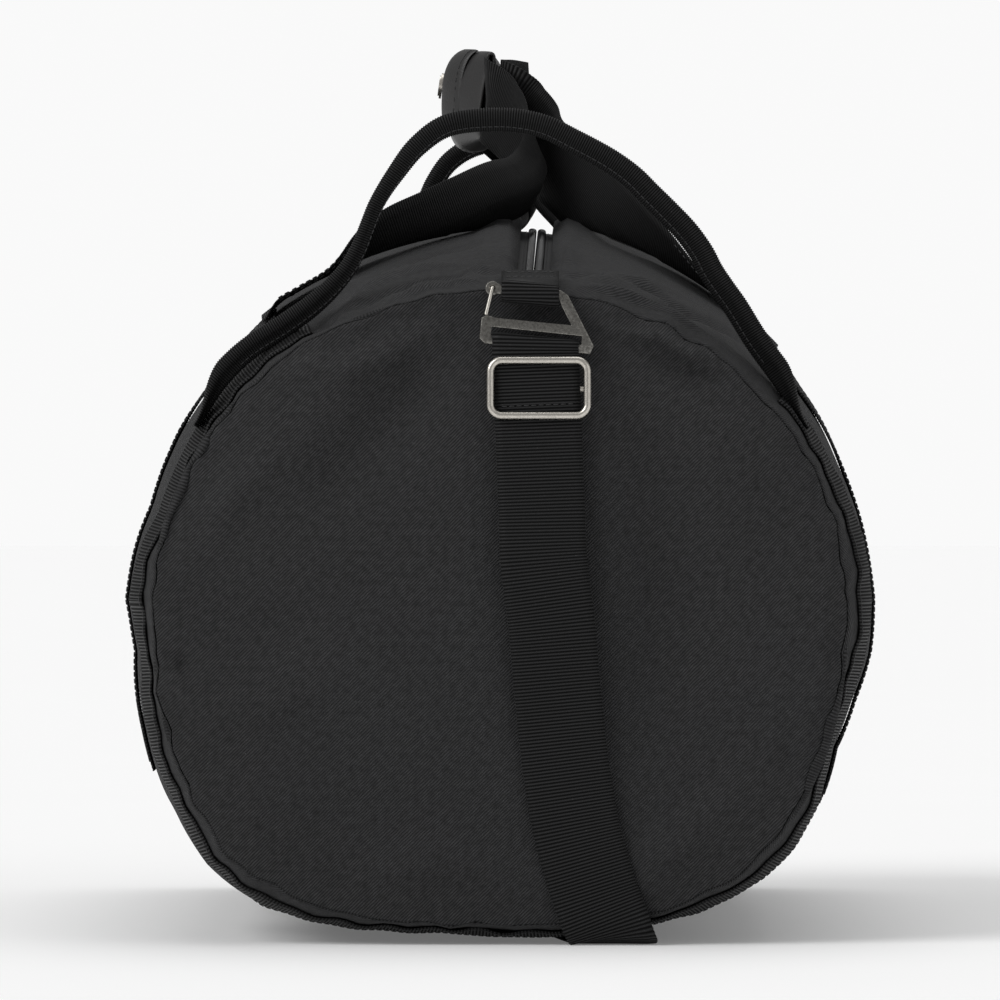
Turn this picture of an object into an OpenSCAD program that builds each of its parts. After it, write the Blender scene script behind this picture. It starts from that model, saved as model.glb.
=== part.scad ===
// Round-barrel duffel bag with end grab handles, two carry handles and a clip-on shoulder strap.
// Millimetres, +Z up. The origin is on the floor under the middle of the bag; +Y runs along the
// bag, and the near end is at -Y.

/* [Bag] */
// Length from end seam to end seam
bag_length = 530; // [460:5:600]
// Width of an end panel at its seam
rim_width = 306; // [290:2:320]
// Height of the end seam's lowest point above the floor
rim_lift = 8; // [7:0.5:12]
// Height of the crown at the middle of the bag
crown_height = 325; // [318:1:332]
// How far the crown drops from the middle of the bag to the end seam
crown_drop = 37; // [30:1:44]
// How far an end panel bulges past its seam
panel_bulge = 15; // [10:1:18]
// Thickness of the body cloth with its backing
wall = 3; // [2.4:0.2:4]

/* [Webbing] */
// Width of the shoulder strap and carry handles
strap_width = 37.5; // [36:0.5:38]
// Thickness of the wide webbing
strap_thickness = 1.4; // [1.2:0.1:1.6]
// Width of the girth webbing at each end
girth_width = 25; // [20:1:28]
// Width of the grab handle, whose webbing is folded
grab_width = 9; // [7:0.5:11]
// Depth of the grab handle's folded section
grab_depth = 11; // [8:0.5:12]

/* [Zip] */
// Distance of the zip to the right of the bag's middle plane
zip_x = 16; // [10:1:20]
// Width of the mouth between the cloth edges
mouth_width = 24; // [20:1:28]
// Height of the coil chain
chain_height = 2.2; // [1.8:0.1:2.6]

/* [Hidden] */

cloth = "#2a2a2c";
webbing = "#1f1f21";
nickel = "#c9c6be";
gunmetal = "#6f6c66";

half_length = bag_length / 2;
mid_z = 150;
top_power = 2;
bottom_power = 2.6;
end_swell = 10;
mid_swell = 7;
// The crown is an arc of a circle in the plane of the zip
crown_r = (half_length * half_length + crown_drop * crown_drop) / (2 * crown_drop);
crown_centre_z = crown_height - crown_r;
skin_gap = 0.5;

// ---------- helpers ----------

function unit(v) = v / norm(v);
function signed_pow(v, p) = sign(v) * pow(abs(v), p);
function flat_list(lists) = [for (l = lists) for (item = l) item];
function reversed(list) = [for (i = [len(list) - 1:-1:0]) list[i]];

// One span of a smooth curve through b and c
function span_point(a, b, c, d, t) =
  0.5 * (2 * b + (c - a) * t + (2 * a - 5 * b + 4 * c - d) * t * t
  + (3 * b - a - 3 * c + d) * t * t * t);
function smooth_path(p, steps) = concat(
  [for (i = [0:len(p) - 2]) for (k = [0:steps - 1])
    span_point(p[max(i - 1, 0)], p[i], p[i + 1], p[min(i + 2, len(p) - 1)], k / steps)],
  [p[len(p) - 1]]
);

function tangent(p, i) = unit(p[min(i + 1, len(p) - 1)] - p[max(i - 1, 0)]);

function ribbon_ring(p, i, across, w, t) =
  let (along = tangent(p, i),
       side = unit(across[i] - (across[i] * along) * along),
       up = cross(along, side))
  [p[i] + side * w / 2 + up * t / 2, p[i] - side * w / 2 + up * t / 2,
   p[i] - side * w / 2 - up * t / 2, p[i] + side * w / 2 - up * t / 2];

// A solid through rings of equal size, open at neither end
module ring_solid(rings) {
  n = len(rings[0]);
  m = len(rings);
  sides = [for (i = [0:m - 2]) for (k = [0:n - 1]) for (half = [0, 1])
    half == 0 ? [i * n + k, (i + 1) * n + k, (i + 1) * n + (k + 1) % n]
    : [i * n + k, (i + 1) * n + (k + 1) % n, i * n + (k + 1) % n]];
  first = [for (k = [0:n - 1]) k];
  last = [for (k = [n - 1:-1:0]) (m - 1) * n + k];
  polyhedron(points = flat_list(rings), faces = concat(sides, [first], [last]), convexity = 8);
}

// Webbing of one width that follows a path; across says which way its width points
module ribbon(path, across, w, t) {
  ring_solid([for (i = [0:len(path) - 1]) ribbon_ring(path, i, across, w, t)]);
}

function all_along(path, v) = [for (p = path) v];

// Webbing or tape that hugs the barrel from angle start through a turn, between two places along it
module hugging_band(low_y, high_y, start, turn, count, face, t) {
  places = [low_y, (low_y + high_y) / 2, high_y];
  ring_solid([for (k = [0:count]) let (a = start + turn * k / count, way = turn < 0 ? 1 : -1)
    concat([for (q = way > 0 ? [0, 1, 2] : [2, 1, 0]) barrel_point(places[q], a, face + t)],
      [for (q = way > 0 ? [2, 1, 0] : [0, 1, 2]) barrel_point(places[q], a, face)])]);
}

// ---------- the barrel ----------

function share(y) = abs(y) / half_length;
function half_width(y) =
  rim_width / 2 + end_swell * (1 - pow(share(y), 12)) + mid_swell * (1 - pow(share(y), 2));
function crown_z(y) = crown_centre_z + sqrt(crown_r * crown_r - y * y);
function floor_z(y) = rim_lift * pow(share(y), 6);

// A point on the barrel at angle a from +X, out from the cloth's face
function barrel_point(y, a, out) =
  let (upper = sin(a) >= 0,
       power = 2 / (upper ? top_power : bottom_power),
       rise = (upper ? crown_z(y) - mid_z : mid_z - floor_z(y)) + out)
  [(half_width(y) + out) * signed_pow(cos(a), power), y, mid_z + rise * signed_pow(sin(a), power)];
function barrel_ring(y, out, count) = [for (k = [0:count - 1]) barrel_point(y, -360 * k / count, out)];

barrel_steps = [for (k = [-10:10]) half_length * sin(k * 9)];
ring_count = 56;

strap_run_x = 50;
strap_run_y = half_length - 7;
channel_gap = 0.35;

module barrel_solid(out, stretch) {
  ring_solid([for (y = barrel_steps)
    [for (p = barrel_ring(y, out, ring_count)) [p[0], p[1] * stretch, p[2]]]]);
}

module body_panel() {
  color(cloth)
  difference() {
    barrel_solid(0, 1);
    barrel_solid(-wall, 1.01);
    // Mouth along the crown
    translate([zip_x - mouth_width / 2, -half_length + 17, mid_z + 60])
      cube([mouth_width, bag_length - 34, 200]);
    // Dent where the bag rests on its shoulder strap
    translate([zip_x, 0, -1]) rotate([0, 0, atan2(strap_run_x - zip_x, strap_run_y)])
      translate([-strap_width / 2 - channel_gap, -half_length - 9, 0])
      cube([strap_width + 2 * channel_gap, bag_length + 18, 1 + strap_thickness + channel_gap]);
  }
}

function panel_y(r) = half_length + panel_bulge * (1 - r * r);
function panel_point(a, r, deep) =
  let (p = barrel_point(half_length, a, 0))
  [p[0] * r, panel_y(r) - deep, mid_z - 2 + (p[2] - mid_z + 2) * r];

panel_shares = [1, 0.92, 0.8, 0.62, 0.4, 0.15];

// The outer face from rim to middle, then the inner face back to the rim
module end_panel() {
  count = 48;
  outer = [for (r = panel_shares) [for (k = [0:count - 1]) panel_point(-360 * k / count, r, 0)]];
  inner = [for (r = reversed(panel_shares)) [for (k = [0:count - 1])
    let (p = panel_point(-360 * k / count, r, r == 1 ? 0 : wall))
    [p[0] * (r == 1 ? 0.975 : 1), p[1], mid_z + (p[2] - mid_z) * (r == 1 ? 0.975 : 1)]]];
  rings = concat(outer, inner);
  n = count;
  m = len(rings);
  sides = [for (i = [0:m - 1]) if (i != len(outer) - 1) for (k = [0:n - 1])
    let (j = (i + 1) % m)
    [i * n + k, j * n + k, j * n + (k + 1) % n, i * n + (k + 1) % n]];
  // The small middle rings close the two faces
  outer_last = len(outer) - 1;
  caps = [[for (k = [n - 1:-1:0]) outer_last * n + k], [for (k = [0:n - 1]) (outer_last + 1) * n + k]];
  color(cloth) polyhedron(points = flat_list(rings), faces = concat(sides, caps), convexity = 6);
}

module near_end() {
  mirror([0, 1, 0]) children();
}

// Binding tape that covers the raw seam inside the bag
tape_width = 14;
module seam_tape() {
  color(webbing) hugging_band(half_length - tape_width - 1, half_length - 1, 2, -356, 40, -wall - 1.8, 1);
}

// ---------- girth webbing and grab handles ----------

girth_y = half_length - 22;
girth_right_angle = 39;
girth_left_angle = 122;

module girth_webbing() {
  color(webbing) hugging_band(girth_y - girth_width / 2, girth_y + girth_width / 2, girth_right_angle,
    girth_left_angle - girth_right_angle - 360, 44, skin_gap, strap_thickness);
}

// Left foot, up over the zip, right foot
near_grab_points = [
  [-84, 284], [-75, 291], [-66, 302], [-59, 315], [-54, 325.5], [-46, 338], [-36, 350.5],
  [-22, 359.6], [0, 361.8], [18, 359.2], [33, 352.2], [47.5, 344.3], [58, 336.8], [66, 328.9],
  [74, 321], [83, 311.5], [91, 301], [98, 290], [107, 278], [119, 263]
];
far_grab_points = [
  [-84, 284], [-75, 291], [-65, 302], [-56, 314], [-48, 326], [-41, 338], [-34, 351],
  [-25, 363], [-13, 370.5], [0, 373], [16, 371.5], [33, 365], [49, 354], [64, 339],
  [77, 323], [88, 307], [98, 291], [107, 278], [119, 263]
];

module grab_handle(points) {
  path = smooth_path([for (p = points) [p[0], girth_y, p[1]]], 2);
  color(webbing) ribbon(path, all_along(path, [0, 1, 0]), grab_width, grab_depth);
}

// ---------- carry handles ----------

carry_y = 140;
left_foot_angle = 131;
right_foot_angle = 41;
band_sweep = 74;

// Sewn band that carries a handle's pull down the side of the bag
module side_band(y, start, turn) {
  color(webbing) hugging_band(y - strap_width / 2, y + strap_width / 2, start, turn * band_sweep, 14,
    skin_gap, strap_thickness);
}

// Each row is a place on half a handle and the way its width points there
left_half = [
  [[-115, -carry_y, 282.5], [0, -1, 0]],
  [[-92, -142, 294], [0, -1, 0.02]],
  [[-76, -142, 303.5], [0, -1, 0.12]],
  [[-60, -141, 311.5], [0, -1, 0.2]],
  [[-45, -140, 317], [0, -1, 0.26]],
  [[-30, -137, 323], [0, -0.95, 0.35]],
  [[-14, -132, 329.5], [-0.05, -0.87, 0.5]],
  [[2, -123, 336.5], [-0.1, -0.75, 0.65]],
  [[14, -109, 343], [-0.15, -0.45, 0.9]],
  [[19, -91, 352], [-0.15, -0.25, 1]],
  [[14, -73, 362], [-0.1, -0.15, 1]],
  [[4, -57, 373], [0, -0.1, 1]],
  [[-5, -48, 379], [0, 0, 1]],
  [[-8.5, -37, 381.8], [0, 0, 1]],
  [[-10.5, -24, 382], [0, 0, 1]],
  [[-12, 0, 382], [0, 0, 1]]
];
right_half = [
  [[133, -carry_y, 266.5], [0, -1, 0]],
  [[120, -140, 277], [0.03, -1, 0.05]],
  [[108, -139, 286], [0.05, -1, 0.1]],
  [[95, -135, 297.5], [0.05, -1, 0.15]],
  [[82, -128, 307.5], [0.12, -0.97, 0.2]],
  [[69, -118, 318], [0.2, -0.9, 0.32]],
  [[57, -106, 327.5], [0.3, -0.75, 0.5]],
  [[45, -93, 335.5], [0.42, -0.5, 0.72]],
  [[35, -80, 342.5], [0.42, -0.12, 0.9]],
  [[28, -68, 351], [0.2, 0, 0.98]],
  [[23, -58, 361], [0.1, 0, 1]],
  [[14, -50, 372], [0.06, 0, 1]],
  [[6, -45.5, 378], [0.03, 0, 1]],
  [[2, -40, 380], [0, 0, 1]],
  [[6, -24, 381], [0, 0, 1]],
  [[13, 0, 381], [0, 0, 1]]
];

function whole_places(half) = smooth_path(concat([for (r = half) r[0]],
  [for (i = [len(half) - 2:-1:0]) [half[i][0][0], -half[i][0][1], half[i][0][2]]]), 2);
function whole_across(half) = smooth_path(concat([for (r = half) r[1]],
  [for (i = [len(half) - 2:-1:0]) [half[i][1][0], -half[i][1][1], half[i][1][2]]]), 2);

module carry_handle(half) {
  color(webbing) ribbon(whole_places(half), whole_across(half), strap_width, strap_thickness);
}

wrap_centre = [-12, 382];
wrap_length = 72;
wrap_half_x = 12.5;
wrap_half_z = 21.5;
wrap_wall = 1.6;

// Rounded oval of the wrap's section, grown or shrunk by out
function wrap_outline(out) = [for (k = [0:27]) let (a = 360 * k / 28)
  [wrap_centre[0] + (wrap_half_x + out) * signed_pow(cos(a), 0.8),
   wrap_centre[1] + (wrap_half_z + out) * signed_pow(sin(a), 0.8)]];

module along_y(length) {
  translate([0, length / 2, 0]) rotate([90, 0, 0]) linear_extrude(length) children();
}

module handle_wrap() {
  color(webbing)
  along_y(wrap_length) difference() {
    polygon(wrap_outline(0));
    polygon(wrap_outline(-wrap_wall));
  }
}

// Leather tongue that folds over the wrap's left side from its top
flap_width = 46;
flap_thickness = 1.8;
flap_gap = 0.5;
flap_top_angle = 100;
flap_low_angle = 205;
function wrap_point(a, out) = [
  wrap_centre[0] + (wrap_half_x + out) * signed_pow(cos(a), 0.8),
  0,
  wrap_centre[1] + (wrap_half_z + out) * signed_pow(sin(a), 0.8)
];

module wrap_flap() {
  count = 12;
  out = flap_gap + flap_thickness / 2;
  step = (flap_low_angle - flap_top_angle) / count;
  path = [for (k = [0:count]) wrap_point(flap_top_angle + step * k, out)];
  color("#262524") ribbon(path, all_along(path, [0, 1, 0]), flap_width, flap_thickness);
}

snap_angle = 168;
snap_r = 6;
module at_snap(out) {
  p = wrap_point(snap_angle, out);
  translate(p) rotate([0, -82, 0]) children();
}
module snap_cap() {
  out = flap_gap + flap_thickness + 0.5;
  color(nickel) at_snap(out) {
    cylinder(r = snap_r, h = 1, $fn = 40);
    translate([0, 0, 1]) cylinder(r = snap_r - 1.2, h = 0.7, $fn = 40);
  }
}
module snap_stud() {
  color(nickel) at_snap(-wrap_wall - 1.4) cylinder(r = snap_r - 2, h = 1, $fn = 40);
}

// ---------- zip ----------

zip_reach = half_length - 22;
zip_tilt = 5.5;
zip_deep = wall + 1.7;
row_gap = 1.2;
coil_width = 3;
tape_thickness = 0.8;
// The zip's arc lies in a plane that leans with the cloth beside it
zip_top_x = zip_x + 1.8;
zip_top = [zip_top_x, 0, mid_z + (crown_height - mid_z) * sqrt(1 - pow(zip_top_x / half_width(0), 2))];
zip_centre = zip_top - crown_r * [sin(zip_tilt), 0, cos(zip_tilt)];

// A strip between two distances from the zip's middle, following the crown arc
module zip_strip(left, right, low, high) {
  half_angle = asin(zip_reach / crown_r);
  translate(zip_centre) rotate([0, zip_tilt + 90, 0]) translate([0, 0, left])
    rotate([0, 0, 180 - half_angle]) rotate_extrude(angle = 2 * half_angle, $fn = 720)
    translate([crown_r + low, 0]) square([high - low, right - left]);
}

chain_low = -zip_deep - 0.6;
coil_edge = row_gap / 2 + coil_width;
tape_edge = mouth_width / 2 + 3;
module zip_tape(side) {
  left = side > 0 ? coil_edge + 0.1 : -tape_edge;
  color("#101011") zip_strip(left, left + tape_edge - coil_edge - 0.1, chain_low, chain_low + tape_thickness);
}
module zip_coil(side) {
  left = side > 0 ? row_gap / 2 : -coil_edge;
  color("#1b1b1d") zip_strip(left, left + coil_width, chain_low, chain_low + chain_height);
}

// Places something on the zip at distance y along the bag, upright to the crown arc
module on_zip(y) {
  translate(zip_centre) rotate([0, zip_tilt, 0]) rotate([-asin(y / crown_r), 0, 0])
    translate([0, 0, crown_r + chain_low]) children();
}

stop_y = zip_reach + 2.5;
module zip_stop(y) {
  color(gunmetal) on_zip(y) translate([-4, -1.8, -0.4]) cube([8, 3.6, chain_height + 1]);
}

slider_y = half_length - 64;
slider_length = 18;
slider_width = 13;
plate = 1.5;
play = 0.4;
bridge_height = 5;
module zip_slider() {
  color(gunmetal) on_zip(slider_y) {
    top = chain_height + play;
    translate([-slider_width / 2, -slider_length / 2, top]) cube([slider_width, slider_length, plate]);
    translate([-slider_width / 2, -slider_length / 2, -play - plate]) cube([slider_width, slider_length, plate]);
    translate([-0.2, -slider_length / 2 + 1, -play - 0.1]) cube([0.4, 5, top + play + 0.2]);
    for (side = [-1, 1]) translate([side * 4.5 - 0.8, -4, top + plate]) cube([1.6, 8, bridge_height]);
    translate([-5.3, 0, top + plate + bridge_height - 1.2]) rotate([0, 90, 0]) cylinder(r = 1, h = 10.6, $fn = 24);
  }
}

pull_z = chain_height + play + plate + bridge_height - 1.2;
pull_length = 34;
pull_width = 7;
module zip_pull() {
  color(gunmetal) on_zip(slider_y) translate([0, 0, pull_z]) rotate([-6, 0, 0])
    difference() {
      union() {
        rotate([0, 90, 0]) translate([0, 0, -3.4]) cylinder(r = 2.4, h = 6.8, $fn = 32);
        translate([-pull_width / 2, 1.8, -1]) cube([pull_width, pull_length, 2]);
      }
      rotate([0, 90, 0]) translate([0, 0, -4]) cylinder(r = 1.2, h = 8, $fn = 32);
      translate([0, pull_length - 3, -2]) cylinder(r = 1.8, h = 4, $fn = 32);
    }
}

// ---------- strap hardware, in a frame that hangs from the loop at the zip's end ----------

loop_z = 284.5;
loop_out = 9;
hang_lean = 5.5;
loop_width = 25;
loop_x = zip_x - 2.8;
hook_roll = 6;
loop_r = 4.6;

// Near-end hardware frame: x across the strap, -z down the strap, -y out of the bag
module at_near_loop() {
  translate([zip_x, -half_length - loop_out, loop_z]) rotate([-hang_lean, 0, 0]) children();
}
module strap_loop() {
  over = [
    [loop_x, -half_length + 20, crown_z(half_length - 20) + 1.9],
    [loop_x, -half_length + 8, crown_z(half_length - 8) + 2],
    [loop_x, -half_length - 2, crown_z(half_length - 2) + 1.6]
  ];
  around = [for (a = [70:-25:-155])
    [loop_x, -half_length - loop_out - loop_r * cos(a), loop_z + loop_r * sin(a)]];
  rolled = [cos(hook_roll), 0, -sin(hook_roll)];
  color(webbing) ribbon(concat(over, around), concat(all_along(over, [1, 0, 0]), all_along(around, rolled)),
    loop_width, strap_thickness);
}

// Turns a near-end piece half a turn to make its far-end twin
module far_twin() {
  translate([2 * zip_x, 0, 0]) rotate([0, 0, 180]) children();
}

hook_t = 2.4;
hook_shift = 1.2;
hook_outer = [
  [-19.5, 2.2], [9, 2.2], [12.5, 0.4], [26, -20.6], [24.6, -24.4], [-21.5, -24.4], [-24, -22.4],
  [-24, -13.4], [-22.4, -12.2], [-19.8, -12.2], [-18.8, -12.6], [15.4, -12.6], [8.6, -2.2], [-19.5, -2.2]
];
slot_low = -20.6;
slot_high = -16.9;
slot_left = -19.2;
slot_right = 20.4;
gate_r = 0.8;
gate_pin = [-20.6, 0];
gate_tip = [-22.2, -12];

module hook_frame() {
  translate([hook_shift, 0, 0]) rotate([0, hook_roll, 0]) children();
}
module flat_plate(t) {
  translate([0, t / 2, 0]) rotate([90, 0, 0]) linear_extrude(t) children();
}

module hook() {
  color(gunmetal) hook_frame() {
    flat_plate(hook_t) difference() {
      polygon(hook_outer);
      translate([slot_left, slot_low]) square([slot_right - slot_left, slot_high - slot_low]);
    }
    // Eye that the gate's wire turns in
    translate([gate_pin[0], hook_t / 2, gate_pin[1]]) rotate([90, 0, 0]) difference() {
      cylinder(r = 3.1, h = hook_t, $fn = 32);
      translate([0, 0, -1]) cylinder(r = gate_r + 0.3, h = hook_t + 2, $fn = 32);
    }
  }
}

gate_plane = -hook_t / 2 - gate_r - 0.35;
module hook_gate() {
  drop = gate_tip - gate_pin;
  lean = atan2(drop[0], -drop[1]);
  color(nickel) hook_frame() translate([gate_pin[0], 0, gate_pin[1]]) {
    translate([0, hook_t / 2 + 0.8, 0]) rotate([90, 0, 0])
      cylinder(r = gate_r, h = hook_t / 2 + 0.8 - gate_plane, $fn = 24);
    translate([0, gate_plane, 0]) sphere(r = gate_r, $fn = 24);
    translate([0, gate_plane, 0]) rotate([0, -lean + 180, 0]) cylinder(r = gate_r, h = norm(drop), $fn = 24);
  }
}

front_y = -2.4;
back_y = 2.7;
adjuster_drop = 42;
frame_w = 45.6;
frame_h = 27.6;
frame_shift = 0.9;
strap_drift = 0.04;
wire_r = 1.7;
corner_r = 5;
frame_plane = front_y - strap_thickness / 2 - 0.3 - wire_r;
bar_plane = 0.2;
bar_r = 1.35;
cheek_r = 1.45;

module rod_x(length, r) {
  translate([-length / 2, 0, 0]) rotate([0, 90, 0]) cylinder(r = r, h = length, $fn = 32);
}
module rod_z(length, r) {
  translate([0, 0, -length / 2]) cylinder(r = r, h = length, $fn = 32);
}

// Bent wire rectangle that lies over the strap
module adjuster_frame() {
  cx = frame_w / 2 - wire_r;
  cz = frame_h / 2 - wire_r;
  color(nickel) at_near_loop() translate([frame_shift, frame_plane, -adjuster_drop]) {
    for (side = [-1, 1]) {
      translate([0, 0, side * cz]) rod_x(2 * (cx - corner_r), wire_r);
      translate([side * cx, 0, 0]) rod_z(2 * (cz - corner_r), wire_r);
    }
    for (turn = [0, 180]) for (side = [0, 1])
      rotate([0, turn, 0]) mirror([side, 0, 0]) translate([cx - corner_r, 0, cz - corner_r])
        rotate([90, 0, 0]) rotate_extrude(angle = 90, $fn = 64)
        translate([corner_r, 0]) circle(r = wire_r, $fn = 32);
  }
}

// Middle bar behind the strap, held by a cheek at each end
module adjuster_bar() {
  cheek_x = frame_w / 2 - wire_r;
  color(nickel) at_near_loop() translate([frame_shift, 0, -adjuster_drop]) {
    translate([0, bar_plane, 0]) rod_x(2 * cheek_x, bar_r);
    for (side = [-1, 1]) translate([side * cheek_x, bar_plane + bar_r, 0]) rotate([90, 0, 0])
      cylinder(r = cheek_r, h = bar_plane + bar_r - frame_plane - wire_r - 0.1, $fn = 32);
  }
}

// ---------- shoulder strap ----------

split_drop = 118;

// The strap's end turned round the hook's lower bar; its tail stops at tail_drop
module strap_end(tail_drop) {
  bar_mid = (slot_low - 24.4) / 2;
  bar_place = [hook_shift + (slot_left + slot_right) / 2 + bar_mid * sin(hook_roll), bar_mid * cos(hook_roll)];
  half_gap = (back_y - front_y) / 2;
  turn_r = 3.4;
  round = [for (a = [0:30:180])
    [bar_place[0], front_y + half_gap * (1 + cos(a)), bar_place[1] + turn_r * sin(a)]];
  back = [for (z = [-tail_drop, -tail_drop / 2 - 14, -28]) [bar_place[0], back_y, z]];
  front = [for (z = [-28, -42, -80, -split_drop]) [bar_place[0] + strap_drift * (-28 - z), front_y, z]];
  rolled = [cos(hook_roll), 0, -sin(hook_roll)];
  level = [1, 0, 0];
  color(webbing) ribbon(concat(back, round, front),
    concat([level, level, rolled], all_along(round, rolled), [rolled, level, level, level]),
    strap_width, strap_thickness);
}

// Lower run in the bag's frame: down the near panel, under the bag and up the far panel
strap_half = [
  [19.8, -half_length - 22.8, 166],
  [22.5, -half_length - 20.2, 140],
  [25, -half_length - 17, 112],
  [28.5, -half_length - 13.6, 80],
  [33.5, -half_length - 9.2, 50],
  [41, -half_length - 5.2, 24],
  [47.5, -half_length - 2.4, 7],
  [strap_run_x, -strap_run_y, 1.6],
  [strap_run_x - 3, -strap_run_y + 21, 0.7]
];

module shoulder_strap() {
  ends = smooth_path(strap_half, 2);
  path = concat(ends, reversed([for (p = ends) [2 * zip_x - p[0], -p[1], p[2]]]));
  color(webbing) ribbon(path, all_along(path, [1, 0, 0]), strap_width, strap_thickness);
}

// ---------- nodes ----------

body_panel();
near_end() end_panel();  // near_end_panel
end_panel();  // far_end_panel
near_end() seam_tape();  // near_seam_tape
seam_tape();  // far_seam_tape
near_end() girth_webbing();  // near_girth_webbing
girth_webbing();  // far_girth_webbing
near_end() grab_handle(near_grab_points);  // near_grab_handle
grab_handle(far_grab_points);  // far_grab_handle
side_band(-carry_y, left_foot_angle, 1);  // left_near_band
side_band(carry_y, left_foot_angle, 1);  // left_far_band
side_band(-carry_y, right_foot_angle, -1);  // right_near_band
side_band(carry_y, right_foot_angle, -1);  // right_far_band
carry_handle(left_half);  // left_carry_handle
carry_handle(right_half);  // right_carry_handle
handle_wrap();
wrap_flap();
snap_cap();
snap_stud();
zip_tape(-1);  // zip_tape_left
zip_tape(1);  // zip_tape_right
zip_coil(-1);  // zip_coil_left
zip_coil(1);  // zip_coil_right
zip_stop(-stop_y);  // near_zip_stop
zip_stop(stop_y);  // far_zip_stop
zip_slider();
zip_pull();
strap_loop();  // near_strap_loop
far_twin() strap_loop();  // far_strap_loop
at_near_loop() hook();  // near_hook
far_twin() at_near_loop() hook();  // far_hook
at_near_loop() hook_gate();  // near_hook_gate
far_twin() at_near_loop() hook_gate();  // far_hook_gate
adjuster_frame();
adjuster_bar();
shoulder_strap();
at_near_loop() strap_end(52);  // near_strap_end
far_twin() at_near_loop() strap_end(60);  // far_strap_end
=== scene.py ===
"""Round duffel bag in black twill: sewn cloth, ribbed webbing, coil zip, leather tongue and metal
hardware, modelled around the bag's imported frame. Shapes are worked out in millimetres."""

import math

import bpy
import numpy as np
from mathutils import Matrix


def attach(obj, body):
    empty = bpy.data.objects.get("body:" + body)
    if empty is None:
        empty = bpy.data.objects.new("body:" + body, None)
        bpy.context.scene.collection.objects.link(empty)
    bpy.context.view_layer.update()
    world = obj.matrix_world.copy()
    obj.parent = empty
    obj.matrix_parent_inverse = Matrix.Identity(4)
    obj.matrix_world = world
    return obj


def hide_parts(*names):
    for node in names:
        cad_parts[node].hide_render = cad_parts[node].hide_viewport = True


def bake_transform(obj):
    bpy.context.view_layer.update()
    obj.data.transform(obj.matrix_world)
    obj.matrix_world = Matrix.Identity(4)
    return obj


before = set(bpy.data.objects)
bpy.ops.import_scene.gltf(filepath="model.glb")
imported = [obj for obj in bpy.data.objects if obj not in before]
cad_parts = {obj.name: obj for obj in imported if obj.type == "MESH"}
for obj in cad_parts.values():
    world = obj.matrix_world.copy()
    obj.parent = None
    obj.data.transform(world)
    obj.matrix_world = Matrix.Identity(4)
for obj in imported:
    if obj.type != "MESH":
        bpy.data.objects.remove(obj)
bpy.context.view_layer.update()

bl_info = {
    "name": "Duffel Bag",
    "version": (1, 0, 0),
    "blender": (4, 5, 0),
    "location": "View3D > Sidebar > Duffel Bag",
    "description": "Sews a duffel bag's cloth, webbing, zip and finishes around its frame",
    "category": "Object",
}

MM = 0.001

# Sizes of the frame, in millimetres
HALF_LENGTH = 265.0
RIM_HALF_WIDTH = 153.0
MID_Z = 150.0
CROWN_Z = 325.0
CROWN_DROP = 37.0
CROWN_R = (HALF_LENGTH**2 + CROWN_DROP**2) / (2 * CROWN_DROP)
PANEL_BULGE = 15.0
BOTTOM_POWER = 2.6
GIRTH_Y = HALF_LENGTH - 22
BAND_Y = 140.0
ZIP_X = 16.0
ZIP_TILT = math.radians(5.5)
ZIP_REACH = HALF_LENGTH - 22
CHAIN_LOW = -5.3
STRAP_WIDTH = 37.5
WEBBING_T = 1.4
HANG_LEAN = math.radians(5.5)
LOOP_PLACE = np.array([ZIP_X, -HALF_LENGTH - 9, 284.5])
# Scale at which a wave texture has one band for each unit
WAVE_SCALE = 0.31416


# ---------- sizes and colours a user would change ----------


class DuffelClothSettings(bpy.types.PropertyGroup):
    crease_height: bpy.props.FloatProperty(
        name="Crease Height", description="Multiplies the height of every crease", default=2.2, min=0, max=3
    )
    gather_height: bpy.props.FloatProperty(
        name="Gather Height", description="Height of the gathers beside a seam, in mm",
        default=1.7, min=0, max=3,
    )
    colour: bpy.props.FloatVectorProperty(
        name="Cloth Colour", description="Black of the twill", subtype="COLOR", default=(0.003, 0.003, 0.0031)
    )


class DuffelWebbingSettings(bpy.types.PropertyGroup):
    rib_pitch: bpy.props.FloatProperty(
        name="Rib Pitch", description="Distance between ribs, in mm", default=1.5, min=1.2, max=3
    )
    fine_pitch: bpy.props.FloatProperty(
        name="Fine Rib Pitch", description="Distance between ribs of the handles' webbing, in mm",
        default=1.1, min=0.8, max=3,
    )
    rib_depth: bpy.props.FloatProperty(
        name="Rib Depth", description="Share of the thickness between ribs", default=0.4, min=0.05, max=0.6
    )
    colour: bpy.props.FloatVectorProperty(
        name="Webbing Colour", description="Black of the webbing", subtype="COLOR",
        default=(0.018, 0.018, 0.0184),
    )


class DuffelZipSettings(bpy.types.PropertyGroup):
    coil_pitch: bpy.props.FloatProperty(
        name="Coil Pitch", description="Distance between turns of the coil, in mm", default=1.6, min=1, max=3
    )
    hem_gap: bpy.props.FloatProperty(
        name="Hem Gap", description="Distance from the zip's middle to the cloth's hem, in mm", default=7.4,
        min=7, max=12
    )


class DuffelMetalSettings(bpy.types.PropertyGroup):
    nickel: bpy.props.FloatVectorProperty(
        name="Nickel", description="Colour of the bright wire", subtype="COLOR", default=(0.6, 0.57, 0.52)
    )
    gunmetal: bpy.props.FloatVectorProperty(
        name="Gunmetal", description="Colour of the dark plate", subtype="COLOR", default=(0.24, 0.232, 0.215)
    )


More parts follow.
